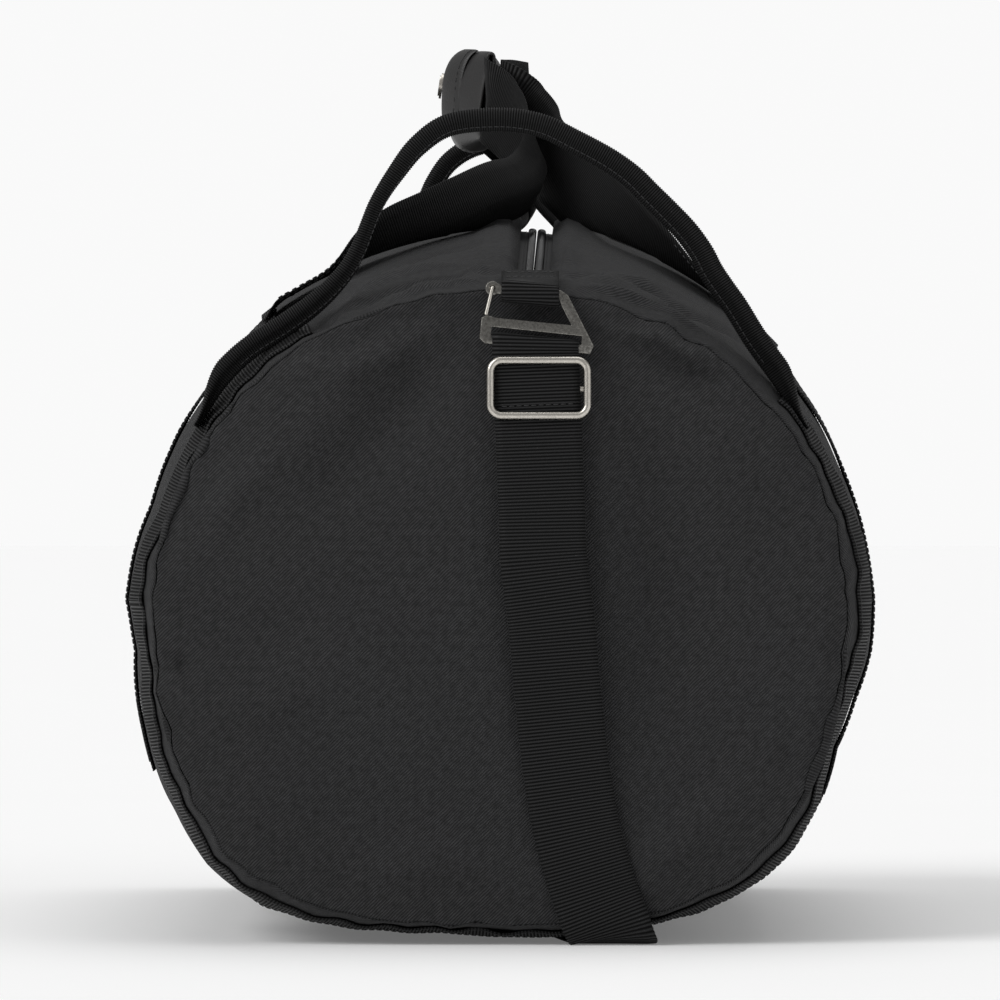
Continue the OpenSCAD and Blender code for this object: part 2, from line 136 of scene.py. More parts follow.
class DuffelStageSettings(bpy.types.PropertyGroup):
    distance: bpy.props.FloatProperty(
        name="Camera Distance", description="From the near seam", default=3.5, unit="LENGTH", min=1
    )
    camera_height: bpy.props.FloatProperty(
        name="Camera Height", description="Above the floor", default=0.1945, unit="LENGTH", min=0
    )
    key_strength: bpy.props.FloatProperty(
        name="Key Strength", description="Strength of the main soft light", default=1.5, min=0
    )


# ---------- shapes of the frame ----------


def half_width(y):
    share = np.abs(y) / HALF_LENGTH
    return RIM_HALF_WIDTH + 10 * (1 - share**12) + 7 * (1 - share**2)


def crown_z(y):
    return CROWN_Z - CROWN_R + np.sqrt(CROWN_R**2 - np.asarray(y, float) ** 2)


def floor_z(y):
    return 8 * (np.abs(y) / HALF_LENGTH) ** 6


def signed_pow(value, power):
    return np.sign(value) * np.abs(value) ** power


def stacked(x, y, z):
    return np.stack(np.broadcast_arrays(x, y, z), -1).astype(float)


def barrel_point(y, angle, out=0.0):
    """A point on the barrel at an angle in radians from +X, out from the cloth's face."""
    c, s = np.cos(angle), np.sin(angle)
    upper = s >= 0
    power = np.where(upper, 1.0, 2 / BOTTOM_POWER)
    rise = np.where(upper, crown_z(y) - MID_Z, MID_Z - floor_z(y)) + out
    return stacked((half_width(y) + out) * signed_pow(c, power), y, MID_Z + rise * signed_pow(s, power))


def on_barrel(x, y):
    """The point of the barrel's upper half at that x and y."""
    return barrel_point(y, math.acos(x / float(half_width(y))))


def panel_y(share):
    return HALF_LENGTH + PANEL_BULGE * (1 - share**2)


def panel_point(angle, share):
    rim = barrel_point(HALF_LENGTH, angle)
    z = MID_Z - 2 + (rim[..., 2] - MID_Z + 2) * share
    return stacked(rim[..., 0] * share, panel_y(share), z)


# ---------- how cloth gives ----------


def ripple(points, wavelength, seed):
    """Smooth unevenness between -1 and 1 with that wavelength."""
    rng = np.random.default_rng(seed)
    total = np.zeros(points.shape[:-1])
    for _ in range(9):
        direction = rng.normal(size=3)
        direction *= 2 * math.pi / (wavelength * rng.uniform(0.7, 1.5) * np.linalg.norm(direction))
        total += np.sin(points @ direction + rng.uniform(0, 2 * math.pi))
    return total / 4.5


def distance_to_run(points, run):
    """Distance from each point to a run of straight pieces, and how far along the run it is, 0 to 1."""
    best = np.full(points.shape[:-1], 1e9)
    along = np.zeros(points.shape[:-1])
    spans = len(run) - 1
    for i in range(spans):
        a, b = np.asarray(run[i], float), np.asarray(run[i + 1], float)
        t = np.clip(((points - a) @ (b - a)) / ((b - a) @ (b - a)), 0, 1)
        d = np.linalg.norm(points - (a + t[..., None] * (b - a)), axis=-1)
        closer = d < best
        best = np.where(closer, d, best)
        along = np.where(closer, (i + t) / spans, along)
    return best, along


def crease(points, run, width, height):
    """A fold that stands up along the run and dies away at its ends."""
    d, along = distance_to_run(points, run)
    return height * np.exp(-((d / width) ** 2)) * np.sin(math.pi * np.clip(along, 0.04, 0.96)) ** 0.6


# Where the stuffed barrel is fuller or slacker: angle in degrees from +X, and millimetres
FULLNESS = (
    (-50, 1), (-43, 0), (-33, -4), (-24, -9), (-16, -7), (-8, -3), (0, -1), (15, -2), (35, -3), (50, -1),
    (90, 0), (104, -2), (116, -4), (127, -2), (140, -5), (156, -7), (165, -7), (173, -3), (180, 0),
    (188, -4), (200, -3), (213, -1),
    (222, 4), (232, 6), (245, 3), (260, 0), (310, 1),
)


def fullness(points):
    """How much the stuffing fills the barrel out at a point's angle, in millimetres."""
    angle = np.degrees(np.arctan2(points[..., 2] - MID_Z, points[..., 0]))
    angle = np.where(angle < -50, angle + 360, angle)
    return np.interp(angle, [a for a, _ in FULLNESS], [mm for _, mm in FULLNESS])


def barrel_creases():
    """Folds in the barrel: places, width and height, in millimetres."""
    return [
        ([on_barrel(-17, -262), on_barrel(-13, -238), on_barrel(-4, -214), on_barrel(6, -208)], 4.5, 1.6),
        ([on_barrel(-70, -250), on_barrel(-60, -222), on_barrel(-44, -205), on_barrel(-16, -214)], 5, 1.8),
        ([on_barrel(-92, -236), on_barrel(-84, -205), on_barrel(-60, -182)], 7, 2.2),
        ([on_barrel(-75, -262), on_barrel(-90, -225), on_barrel(-98, -190)], 6, -2.0),
        ([on_barrel(-100, -258), on_barrel(-40, -232), on_barrel(2, -236)], 4, -1.6),
        ([on_barrel(-56, -264), on_barrel(-36, -250), on_barrel(-10, -252)], 3.5, 1.8),
        ([on_barrel(22, -240), on_barrel(60, -216), on_barrel(96, -226)], 4, -1.6),
        ([on_barrel(34, -258), on_barrel(58, -246), on_barrel(88, -250)], 3.5, 2.0),
        ([on_barrel(-60, -190), on_barrel(-30, -170), on_barrel(-6, -176)], 6, -1.6),
        ([on_barrel(30, -262), on_barrel(48, -226), on_barrel(80, -190)], 6, 1.8),
        ([on_barrel(62, -255), on_barrel(84, -224), on_barrel(112, -200)], 7, -1.8),
        ([on_barrel(27, -214), on_barrel(26, -196), on_barrel(28, -178)], 3.5, 2.2),
        ([on_barrel(-8, -200), on_barrel(-2, -120), on_barrel(2, -60)], 6, 1.2),
        ([on_barrel(0, -110), on_barrel(2, -60), on_barrel(2, 10), on_barrel(0, 80)], 9, 3.0),
        ([on_barrel(33, -110), on_barrel(31, -60), on_barrel(31, 10), on_barrel(33, 80)], 9, 2.6),
        ([on_barrel(40, -150), on_barrel(38, -60), on_barrel(44, 40)], 8, 1.2),
        ([on_barrel(-60, 60), on_barrel(-20, 150), on_barrel(0, 230)], 8, 1.6),
        ([on_barrel(50, 120), on_barrel(70, 190), on_barrel(60, 250)], 7, 1.8),
        ([on_barrel(-110, 180), on_barrel(-90, 225), on_barrel(-96, 258)], 7, 2.0),
    ]


def barrel_relief(points):
    """How far the barrel's cloth stands off its smooth shape, in millimetres."""
    cloth = bpy.context.scene.duffel_cloth
    inset = HALF_LENGTH - np.abs(points[..., 1])
    stretched = points * np.array([1, 0.22, 1])
    gathers = cloth.gather_height * np.exp(-inset / 26) * ripple(stretched, 17, 4)
    sag = 1.5 * ripple(points, 150, 7) + 0.7 * ripple(points * np.array([1, 0.5, 1]), 60, 8)
    folds = sum(crease(points, run, width, height) for run, width, height in barrel_creases())
    free = np.clip(inset / 14, 0, 1)
    return gathers + free * (sag + cloth.crease_height * folds) + fullness(points) * (0.45 + 0.55 * free)


def panel_creases():
    """Folds in the near end panel as x and z places, width and height, in millimetres."""
    return [
        ([(46, 270), (70, 266), (87, 258), (107, 257), (123, 244)], 3.4, 3.0),
        ([(60, 262), (84, 250), (104, 246)], 5, -2.4),
        ([(127, 82), (131, 68), (125, 56)], 4, -3.2),
        ([(136, 96), (137, 80), (131, 66)], 5, 1.5),
        ([(-150, 128), (-141, 124), (-136, 118)], 3.4, -2.2),
        ([(-152, 119), (-142, 116), (-135, 110)], 3.6, 1.4),
        ([(-131, 66), (-124, 57), (-112, 50)], 3, 1.0),
        ([(-128, 58), (-120, 48), (-108, 41)], 3, -1.0),
        ([(-104, 258), (-70, 250), (-30, 266)], 8, 2.4),
        ([(-60, 30), (-20, 40), (20, 28)], 10, 1.8),
        ([(60, 32), (86, 52), (112, 76)], 9, 1.8),
        ([(-150, 150), (-110, 138), (-70, 142)], 12, -2.4),
        ([(-146, 108), (-110, 104), (-80, 112)], 10, 2.0),
        ([(-96, 214), (-118, 196), (-134, 170)], 9, 1.8),
        ([(-20, 262), (-52, 226), (-84, 190)], 15, -3.4),
        ([(52, 262), (66, 220), (72, 160), (64, 90)], 16, -3.2),
    ]


def panel_relief(points, folded):
    """How far an end panel's cloth stands out from its smooth dome, in millimetres."""
    cloth = bpy.context.scene.duffel_cloth
    share = np.sqrt((points[..., 0] / 153) ** 2 + ((points[..., 2] - 148) / 139) ** 2)
    inset = np.clip(1 - share, 0, 1) * 150
    gathers = cloth.gather_height * 0.8 * np.exp(-inset / 16) * ripple(points, 15, 14)
    sag = 2.2 * ripple(points, 120, 17) + 0.6 * ripple(points, 45, 18)
    folds = 0.0
    if folded:
        flat = points * np.array([1, 0, 1])
        for run, width, height in panel_creases():
            folds = folds + crease(flat, [(x, 0, z) for x, z in run], width, height)
    free = np.clip(inset / 9, 0, 1)
    return gathers * np.clip(inset / 3, 0, 1) + free * (sag + cloth.crease_height * folds)


# ---------- mesh helpers ----------


def grid_faces(rows, columns, wrapped, keep=None):
    """Quads of a grid. keep drops the cells it says no to."""
    faces = []
    last = columns if wrapped else columns - 1
    for i in range(rows - 1):
        for k in range(last):
            if keep is None or keep(i, k):
                after = (k + 1) % columns
                here, ahead = i * columns, (i + 1) * columns
                faces.append((here + k, here + after, ahead + after, ahead + k))
    return faces


def signed_volume(points, faces):
    quads = np.array(faces)
    a, b, c, d = (points[quads[:, k]] for k in range(4))
    return (np.einsum("ij,ij->i", a, np.cross(b, c)) + np.einsum("ij,ij->i", a, np.cross(c, d))).sum()


def new_piece(name, points, faces, material, uv=None, flip=False):
    """A smooth-shaded mesh object from millimetre points; uv gives each point's place in millimetres."""
    mesh = bpy.data.meshes.new(name)
    if flip:
        faces = [tuple(reversed(f)) for f in faces]
    mesh.from_pydata((np.asarray(points) * MM).tolist(), [], faces)
    mesh.polygons.foreach_set("use_smooth", np.ones(len(faces), bool))
    if uv is not None:
        corners = np.zeros(len(mesh.loops), np.int32)
        mesh.loops.foreach_get("vertex_index", corners)
        layer = mesh.uv_layers.new(name="cloth_uv")
        layer.data.foreach_set("uv", (np.asarray(uv)[corners] * MM).astype(np.float32).ravel())
    mesh.materials.append(material)
    mesh.update()
    piece = bpy.data.objects.new(name, mesh)
    bpy.context.scene.collection.objects.link(piece)
    return piece


def closed_piece(name, points, faces, material, uv=None):
    return new_piece(name, points, faces, material, uv, flip=signed_volume(points, faces) < 0)


def apply_modifier(piece, kind, **values):
    modifier = piece.modifiers.new(kind.title(), kind)
    for key, value in values.items():
        setattr(modifier, key, value)
    bpy.ops.object.select_all(action="DESELECT")
    piece.select_set(True)
    bpy.context.view_layer.objects.active = piece
    bpy.ops.object.modifier_apply(modifier=modifier.name)


def span_points(p, steps):
    """A smooth curve through the rows of p."""
    p = np.asarray(p, float)
    rows = []
    t = np.arange(steps)[:, None] / steps
    for i in range(len(p) - 1):
        a, b, c, d = p[max(i - 1, 0)], p[i], p[i + 1], p[min(i + 2, len(p) - 1)]
        bend, twist = 2 * a - 5 * b + 4 * c - d, 3 * b - a - 3 * c + d
        rows.append(0.5 * (2 * b + (c - a) * t + bend * t**2 + twist * t**3))
    return np.vstack(rows + [p[-1:]])


def lengths(points):
    return np.concatenate([[0], np.cumsum(np.linalg.norm(np.diff(points, axis=0), axis=1))])


def interp_rows(s, table, rows):
    return np.stack([np.interp(s, table, rows[:, k]) for k in range(rows.shape[1])], -1)


def along_path(path, across, fold=None, resting=None):
    """Length of a webbing run, and place(s, v, out): s along it, v across it, out from its face.
    fold(share of the length) is the angle each half of its width leans back; resting is its gap from
    the barrel."""
    points, sides = span_points(path, 24), span_points(across, 24)
    table = lengths(points)
    even = np.linspace(0, table[-1], max(60, int(table[-1] / 1.5)))
    points, sides = interp_rows(even, table, points), interp_rows(even, table, sides)
    forward = np.gradient(points, axis=0)
    forward /= np.linalg.norm(forward, axis=1)[:, None]
    sides -= (sides * forward).sum(1)[:, None] * forward
    sides /= np.linalg.norm(sides, axis=1)[:, None]
    ups = np.cross(forward, sides)

    def place(s, v, out):
        s, v, out = np.broadcast_arrays(s, v, out)
        side, up = interp_rows(s, even, sides), interp_rows(s, even, ups)
        lean = fold(s / table[-1]) if fold else 0.0
        soft = np.sqrt(v**2 + 4.0) - 2.0
        face = interp_rows(s, even, points) + side * (v * np.cos(lean))[..., None]
        face = face - up * (soft * np.sin(lean))[..., None]
        if resting is not None:
            face = rest_on_barrel(face, resting)
        return face + up * out[..., None]

    return table[-1], place


def along_barrel(y, start, turn):
    """Length and place of a band that hugs the barrel's cloth from an angle through a turn, in degrees."""
    angles = np.radians(start + turn * np.linspace(0, 1, 400))
    table = lengths(barrel_point(np.full(400, y), angles, 1.0))
    way = 1 if turn > 0 else -1

    def place(s, v, out):
        s, v, out = np.broadcast_arrays(s, v, out)
        angle = np.interp(s, table, angles)
        base = barrel_point(y + way * v, angle)
        return barrel_point(y + way * v, angle, out + barrel_relief(base))

    return table[-1], place


def on_zip(s, v, out):
    """A point s along the crown arc from its middle, v across the zip and out from its low face."""
    turn = np.asarray(s) / CROWN_R
    r = CROWN_R + CHAIN_LOW + np.asarray(out, float)
    top_x = ZIP_X + 1.8
    top_z = MID_Z + (CROWN_Z - MID_Z) * math.sqrt(1 - (top_x / float(half_width(0))) ** 2)
    centre = np.array([top_x - CROWN_R * math.sin(ZIP_TILT), 0, top_z - CROWN_R * math.cos(ZIP_TILT)])
    rise = r * np.cos(turn)
    x = centre[0] + rise * math.sin(ZIP_TILT) + np.asarray(v) * math.cos(ZIP_TILT)
    z = centre[2] + rise * math.cos(ZIP_TILT) - np.asarray(v) * math.sin(ZIP_TILT)
    return stacked(x, r * np.sin(turn), z)


def woven_band(name, length, width, place, material, low=0.5, thickness=WEBBING_T, pitch=None, places=9):
    """Webbing with a rib for each pick of its weave, rounded edges and both faces modelled."""
    webbing = bpy.context.scene.duffel_webbing
    pitch = pitch or webbing.rib_pitch
    count = max(8, round(length / pitch * 4))
    s = np.linspace(0, length, count + 1)[:, None]
    across = np.sin(np.linspace(-math.pi / 2, math.pi / 2, places)) * 0.35 + np.linspace(-1, 1, places) * 0.65
    v = across[None, :] * width / 2
    rib = 0.5 - 0.5 * np.cos(2 * math.pi * s / pitch)
    edge = 1 - 0.5 * np.abs(across[None, :]) ** 8
    inset = webbing.rib_depth * (1 - rib) * (1 - 0.5 * np.abs(across[None, :]) ** 6)
    half = thickness / 2 * edge * (1 - inset)
    bow = v * (1 + 0.012 * rib)
    middle = low + thickness / 2
    upper, lower = place(s, bow, middle + half), place(s, bow, middle - half)
    rings = np.concatenate([upper, lower[:, ::-1]], axis=1)
    rows, columns = rings.shape[:2]
    faces = grid_faces(rows, columns, wrapped=True)
    for row, back in ((0, True), (rows - 1, False)):
        for k in range(places - 1):
            quad = [row * columns + q for q in (k, k + 1, columns - 2 - k, columns - 1 - k)]
            faces.append(tuple(reversed(quad)) if back else tuple(quad))
    uv_v = np.concatenate([v, v[:, ::-1]], axis=1)
    uv = np.stack(np.broadcast_arrays(uv_v + width, s), -1).reshape(-1, 2)
    return closed_piece(name, rings.reshape(-1, 3), [f[::-1] for f in faces], material, uv)


STITCH = np.array(
    [(-1, 0, 0), (-0.7, 0.5, 0.1), (-0.7, 0, 0.6), (-0.7, -0.5, 0.1), (-0.7, 0, -0.5),
     (0.7, 0.5, 0.1), (0.7, 0, 0.6), (0.7, -0.5, 0.1), (0.7, 0, -0.5), (1, 0, 0)]
)
STITCH_FACES = [(0, 2, 1), (0, 3, 2), (0, 4, 3), (0, 1, 4), (9, 5, 6), (9, 6, 7), (9, 7, 8), (9, 8, 5),
                (1, 2, 6, 5), (2, 3, 7, 6), (3, 4, 8, 7), (4, 1, 5, 8)]


def stitch_row(place, start, end, out, pitch=3.0, thread=0.55):
    """Points of one row of stitches between two (s, v) places on a band."""
    start, end = np.asarray(start, float), np.asarray(end, float)
    count = max(1, int(np.linalg.norm(end - start) / pitch))
    rows = []
    for k in range(count):
        s, v = start + (end - start) * (k + 0.5) / count
        step = (end - start) / np.linalg.norm(end - start) * 0.5
        p = place(s, v, out)
        forward = place(s + step[0], v + step[1], out) - place(s - step[0], v - step[1], out)
        forward /= np.linalg.norm(forward)
        up = place(s, v, out + 0.5) - p
        up -= (up @ forward) * forward
        up /= np.linalg.norm(up)
        side = np.cross(up, forward)
        local = STITCH * np.array([pitch * 0.42, thread, thread])
        rows.append(p + local[:, :1] * forward + local[:, 1:2] * side + local[:, 2:] * up)
    return rows


def sew(name, stitches, material):
    """One mesh of stitches."""
    points = np.vstack(stitches)
    faces = [tuple(i * len(STITCH) + k for k in f) for i in range(len(stitches)) for f in STITCH_FACES]
    return new_piece(name, points, faces, material)


def near_frame(points):
    """From the frame that hangs at the near loop to the bag's own."""
    p = np.asarray(points, float)
    c, s = math.cos(-HANG_LEAN), math.sin(-HANG_LEAN)
    y, z = p[..., 1] * c - p[..., 2] * s, p[..., 1] * s + p[..., 2] * c
    return stacked(p[..., 0], y, z) + LOOP_PLACE


def far_twin(points):
    """Half a turn about the zip's upright line, to the far end."""
    p = np.asarray(points, float)
    return stacked(2 * ZIP_X - p[..., 0], -p[..., 1], p[..., 2])


def turned(rows):
    """Directions turned half a turn with the far twin."""
    return np.asarray(rows, float) * np.array([-1, -1, 1])


# ---------- finishes ----------


def fill(tree, socket, value):
    """Joins a socket to another one, or sets its value."""
    if isinstance(value, bpy.types.NodeSocket):
        tree.links.new(value, socket)
    else:
        socket.default_value = value


def add_node(tree, kind, **values):
    """A shader node with its settings, and its inputs set or joined."""
    node = tree.nodes.new(kind)
    for key, value in values.items():
        if hasattr(node, key):
            setattr(node, key, value)
        else:
            fill(tree, next(s for s in node.inputs if s.name == key.replace("_", " ") and s.enabled), value)
    return node


def add_math(tree, operation, *values):
    """The result of an operation on values or sockets, in the order of the node's inputs."""
    node = add_node(tree, "ShaderNodeMath", operation=operation)
    for socket, value in zip(node.inputs, values):
        fill(tree, socket, value)
    return node.outputs[0]


def mix_colours(tree, share, first, second):
    """The first colour where the share is 0, the second where it is 1."""
    node = add_node(tree, "ShaderNodeMix", data_type="RGBA")
    fill(tree, node.inputs["Factor"], share)
    fill(tree, node.inputs[6], first)
    fill(tree, node.inputs[7], second)
    return node.outputs[2]


def remap(tree, value, low, high, to_low=0.0, to_high=1.0):
    """A value's place between low and high, moved to between to_low and to_high."""
    node = add_node(
        tree, "ShaderNodeMapRange", Value=value, From_Min=low, From_Max=high, To_Min=to_low, To_Max=to_high
    )
    return node.outputs[0]


def object_places(tree):
    return add_node(tree, "ShaderNodeTexCoord").outputs["Object"]


def cloth_places(tree, pitch):
    """Places on the cloth, counted in threads or ribs of that pitch."""
    where = add_node(tree, "ShaderNodeUVMap", uv_map="cloth_uv").outputs["UV"]
    sized = add_node(tree, "ShaderNodeVectorMath", operation="SCALE")
    tree.links.new(where, sized.inputs[0])
    tree.links.new(add_math(tree, "DIVIDE", 1.0, pitch), sized.inputs["Scale"])
    return sized.outputs[0]


def new_group(name, outputs, **inputs):
    """A node group with its inputs' starting values. Tuples and the output Colour are colours."""
    group = bpy.data.node_groups.new(name, "ShaderNodeTree")
    for key, value in inputs.items():
        kind = "NodeSocketColor" if isinstance(value, tuple) else "NodeSocketFloat"
        socket = group.interface.new_socket(key.replace("_", " "), in_out="INPUT", socket_type=kind)
        socket.default_value = value
    for label in outputs:
        kind = "NodeSocketColor" if label == "Colour" else "NodeSocketFloat"
        group.interface.new_socket(label, in_out="OUTPUT", socket_type=kind)
    return group, group.nodes.new("NodeGroupInput").outputs, group.nodes.new("NodeGroupOutput").inputs


def build_shade_group(name):
    """Uneven shade and a little lint over any finish."""
    group, start, end = new_group(
        name, ("Colour", "Mask"), Colour=(0.02, 0.02, 0.02, 1), Unevenness=0.3, Lint=0.2
    )
    where = object_places(group)
    broad = add_node(group, "ShaderNodeTexNoise", Vector=where, Scale=14.0, Detail=3.0).outputs["Fac"]
    fine = add_node(group, "ShaderNodeTexNoise", Vector=where, Scale=900.0, Detail=2.0).outputs["Fac"]
    swing = add_math(group, "MULTIPLY", add_math(group, "SUBTRACT", broad, 0.5), start["Unevenness"])
    value = add_math(group, "ADD", swing, 1.0)
    shaded = add_node(group, "ShaderNodeHueSaturation", Color=start["Colour"], Value=value)
    specks = add_math(group, "MULTIPLY", remap(group, fine, 0.7, 0.82), start["Lint"])
    linty = mix_colours(group, specks, shaded.outputs["Color"], (0.2, 0.2, 0.2, 1))
    group.links.new(linty, end["Colour"])
    group.links.new(broad, end["Mask"])
    return group


def build_weave_group(name):
    """Threads that cross at a slant: their height, and a painted highlight that lightens each thread's crest.
    """
    group, start, end = new_group(
        name, ("Height", "Colour"), Thread_Pitch=0.0009, Slant=0.8, Colour=(0.02, 0.02, 0.02, 1), Crest=0.4
    )
    threads = cloth_places(group, start["Thread Pitch"])
    slanted = add_node(
        group, "ShaderNodeVectorRotate", rotation_type="Z_AXIS", Vector=threads, Angle=start["Slant"]
    )
    loose = add_node(group, "ShaderNodeTexNoise", Vector=threads, Scale=0.35, Detail=2.0)
    diagonal = add_node(
        group, "ShaderNodeTexWave", Vector=slanted.outputs[0], Scale=0.314, Distortion=1.2, Detail=1.0
    )
    yarns = add_node(
        group, "ShaderNodeTexWave", Vector=threads, Scale=0.6, Distortion=0.8, bands_direction="Y"
    )
    height = add_math(group, "MULTIPLY_ADD", yarns.outputs["Fac"], 0.45, diagonal.outputs["Fac"])
    worn = add_math(group, "MULTIPLY", height, loose.outputs["Fac"])
    # Painted highlight: each thread's crest is mixed toward light grey, standing in for light caught on the
    # threads
    crest_highlight = add_math(group, "MULTIPLY", worn, start["Crest"])
    group.links.new(worn, end["Height"])
    group.links.new(mix_colours(group, crest_highlight, start["Colour"], (0.13, 0.13, 0.135, 1)), end["Colour"])
    return group


def build_rib_group(name):
    """Deep shade between the ribs of webbing, which lie across its length."""
    group, start, end = new_group(
        name, ("Colour", "Roughness"), Rib_Pitch=0.0015, Colour=(0.02, 0.02, 0.02, 1), Shade=0.9
    )
    places = cloth_places(group, start["Rib Pitch"])
    ribs = add_node(group, "ShaderNodeTexWave", Vector=places, Scale=WAVE_SCALE, bands_direction="Y")
    valley = remap(group, ribs.outputs["Fac"], 0.2, 0.95, 1.0, 0.0)
    valley = add_math(group, "MULTIPLY", valley, start["Shade"])
    group.links.new(mix_colours(group, valley, start["Colour"], (0.0006, 0.0006, 0.0006, 1)), end["Colour"])
    group.links.new(remap(group, valley, 0.0, 1.0, 0.5, 1.0), end["Roughness"])
    return group


def build_tarnish_group(name):
    """Rubbed metal: colour and roughness that change over the surface, and fine marks in its face."""
    group, start, end = new_group(
        name, ("Colour", "Roughness", "Height"),
        Colour=(0.5, 0.5, 0.5, 1), Dark=(0.1, 0.1, 0.1, 1), Tarnish=0.5, Roughness=0.3,
    )
    where = object_places(group)
    cloud = add_node(group, "ShaderNodeTexNoise", Vector=where, Scale=900.0, Detail=5.0).outputs["Fac"]
    stretched = add_node(group, "ShaderNodeMapping", Vector=where, Scale=(1, 1, 9)).outputs[0]
    marks = add_node(group, "ShaderNodeTexNoise", Vector=stretched, Scale=700.0, Detail=3.0)
    amount = add_math(group, "MULTIPLY", remap(group, cloud, 0.4, 0.65), start["Tarnish"])
    group.links.new(mix_colours(group, amount, start["Colour"], start["Dark"]), end["Colour"])
    group.links.new(add_math(group, "MULTIPLY_ADD", amount, 0.25, start["Roughness"]), end["Roughness"])
    group.links.new(marks.outputs["Fac"], end["Height"])
    return group


def place_group(tree, name, build, **values):
    """A node of a shared group, which is built at its first use."""
    node = tree.nodes.new("ShaderNodeGroup")
    node.node_tree = bpy.data.node_groups.get(name) or build(name)
    for key, value in values.items():
        fill(tree, node.inputs[key.replace("_", " ")], value)
    return node


def place_shade(tree, colour, unevenness, lint):
    return place_group(
        tree, "uneven_shade", build_shade_group, Colour=colour, Unevenness=unevenness, Lint=lint
    )


def new_finish(name):
    material = bpy.data.materials.new(name)
    material.use_nodes = True
    tree = material.node_tree
    return material, tree, tree.nodes["Principled BSDF"]


def add_bump(tree, shader, height, distance, strength=1.0):
    bump = add_node(tree, "ShaderNodeBump", Distance=distance, Strength=strength, Height=height)
    tree.links.new(bump.outputs["Normal"], shader.inputs["Normal"])


def rgba(colour):
    return (colour[0], colour[1], colour[2], 1.0)


def cloth_finish(
    name, colour, pitch, slant, crest_highlight, roughness, depth, lint=0.25, sheen=0.0, specular=0.3, ribs=0.0
):
    """Woven cloth or webbing. ribs is the pitch of webbing's ribs in metres, or 0 for plain cloth."""
    if name in bpy.data.materials:
        return bpy.data.materials[name]
    material, tree, shader = new_finish(name)
    # The weave's colour carries a painted highlight on each thread's crest; ribbed webbing also gets painted
    # shade between its ribs
    weave = place_group(
        tree, "crossed_threads", build_weave_group,
        Thread_Pitch=pitch, Slant=slant, Colour=rgba(colour), Crest=crest_highlight,
    )
    face = place_shade(tree, weave.outputs["Colour"], 0.35, lint)
    shader.inputs["Roughness"].default_value = roughness
    if ribs:
        face = place_group(
            tree, "rib_shade", build_rib_group, Rib_Pitch=ribs, Colour=face.outputs["Colour"], Shade=0.93
        )
        tree.links.new(face.outputs["Roughness"], shader.inputs["Roughness"])
    tree.links.new(face.outputs["Colour"], shader.inputs["Base Color"])
    shader.inputs["Specular IOR Level"].default_value = specular
    shader.inputs["Sheen Weight"].default_value = sheen
    shader.inputs["Sheen Roughness"].default_value = 0.5
    add_bump(tree, shader, weave.outputs["Height"], depth)
    return material


def twill():
    colour = bpy.context.scene.duffel_cloth.colour
    return cloth_finish("black_twill", colour, 0.0011, 0.8, 0.42, 0.75, 0.0005, sheen=0.02, specular=0.2)


def rib_weave(name, pitch, shade):
    """Ribbed webbing. The pitch is in mm and the shade is a share of the webbing's colour."""
    colour = [part * shade for part in bpy.context.scene.duffel_webbing.colour]
    ribs = pitch * MM
    return cloth_finish(name, colour, 0.0006, 0.0, 0.03, 0.6, 0.00006, lint=0.2, specular=0.16, ribs=ribs)


def webbing_weave():
    return rib_weave("black_webbing", bpy.context.scene.duffel_webbing.rib_pitch, 1.0)


def fine_weave():
    return rib_weave("fine_webbing", bpy.context.scene.duffel_webbing.fine_pitch, 0.65)


def tape_weave():
    return cloth_finish("zip_tape_weave", (0.009, 0.009, 0.0095), 0.0005, 0.0, 0.1, 0.7, 0.00005)


def thread_finish():
    """Polyester thread: fine twist along each stitch."""
    if "black_thread" in bpy.data.materials:
        return bpy.data.materials["black_thread"]
    material, tree, shader = new_finish("black_thread")
    twist = add_node(
        tree, "ShaderNodeTexWave", Vector=object_places(tree), Scale=700.0, bands_direction="DIAGONAL"
    )
    shade = place_shade(tree, (0.02, 0.02, 0.021, 1), 0.4, 0.1)
    tree.links.new(shade.outputs["Colour"], shader.inputs["Base Color"])
    shader.inputs["Roughness"].default_value = 0.5
    add_bump(tree, shader, twist.outputs["Fac"], 0.00006)
    return material


def coil_finish():
    """Glossy nylon coil."""
    if "black_nylon" in bpy.data.materials:
        return bpy.data.materials["black_nylon"]
    material, tree, shader = new_finish("black_nylon")
    shade = place_shade(tree, (0.016, 0.016, 0.017, 1), 0.3, 0.05)
    grain = add_node(tree, "ShaderNodeTexNoise", Vector=object_places(tree), Scale=1500.0)
    tree.links.new(shade.outputs["Colour"], shader.inputs["Base Color"])
    shader.inputs["Roughness"].default_value = 0.34
    shader.inputs["Coat Weight"].default_value = 0.1
    shader.inputs["Coat Roughness"].default_value = 0.15
    add_bump(tree, shader, grain.outputs["Fac"], 0.00003)
    return material


def leather_finish():
    """Smooth grained leather with a soft gloss."""
    if "black_leather" in bpy.data.materials:
        return bpy.data.materials["black_leather"]
    material, tree, shader = new_finish("black_leather")
    pebble = add_node(tree, "ShaderNodeTexVoronoi", Vector=object_places(tree), Scale=1100.0)
    shade = place_shade(tree, (0.013, 0.0125, 0.0125, 1), 0.5, 0.05)
    tree.links.new(shade.outputs["Colour"], shader.inputs["Base Color"])
    tree.links.new(remap(tree, shade.outputs["Mask"], 0.0, 1.0, 0.36, 0.52), shader.inputs["Roughness"])
    add_bump(tree, shader, pebble.outputs["Distance"], 0.00008)
    return material


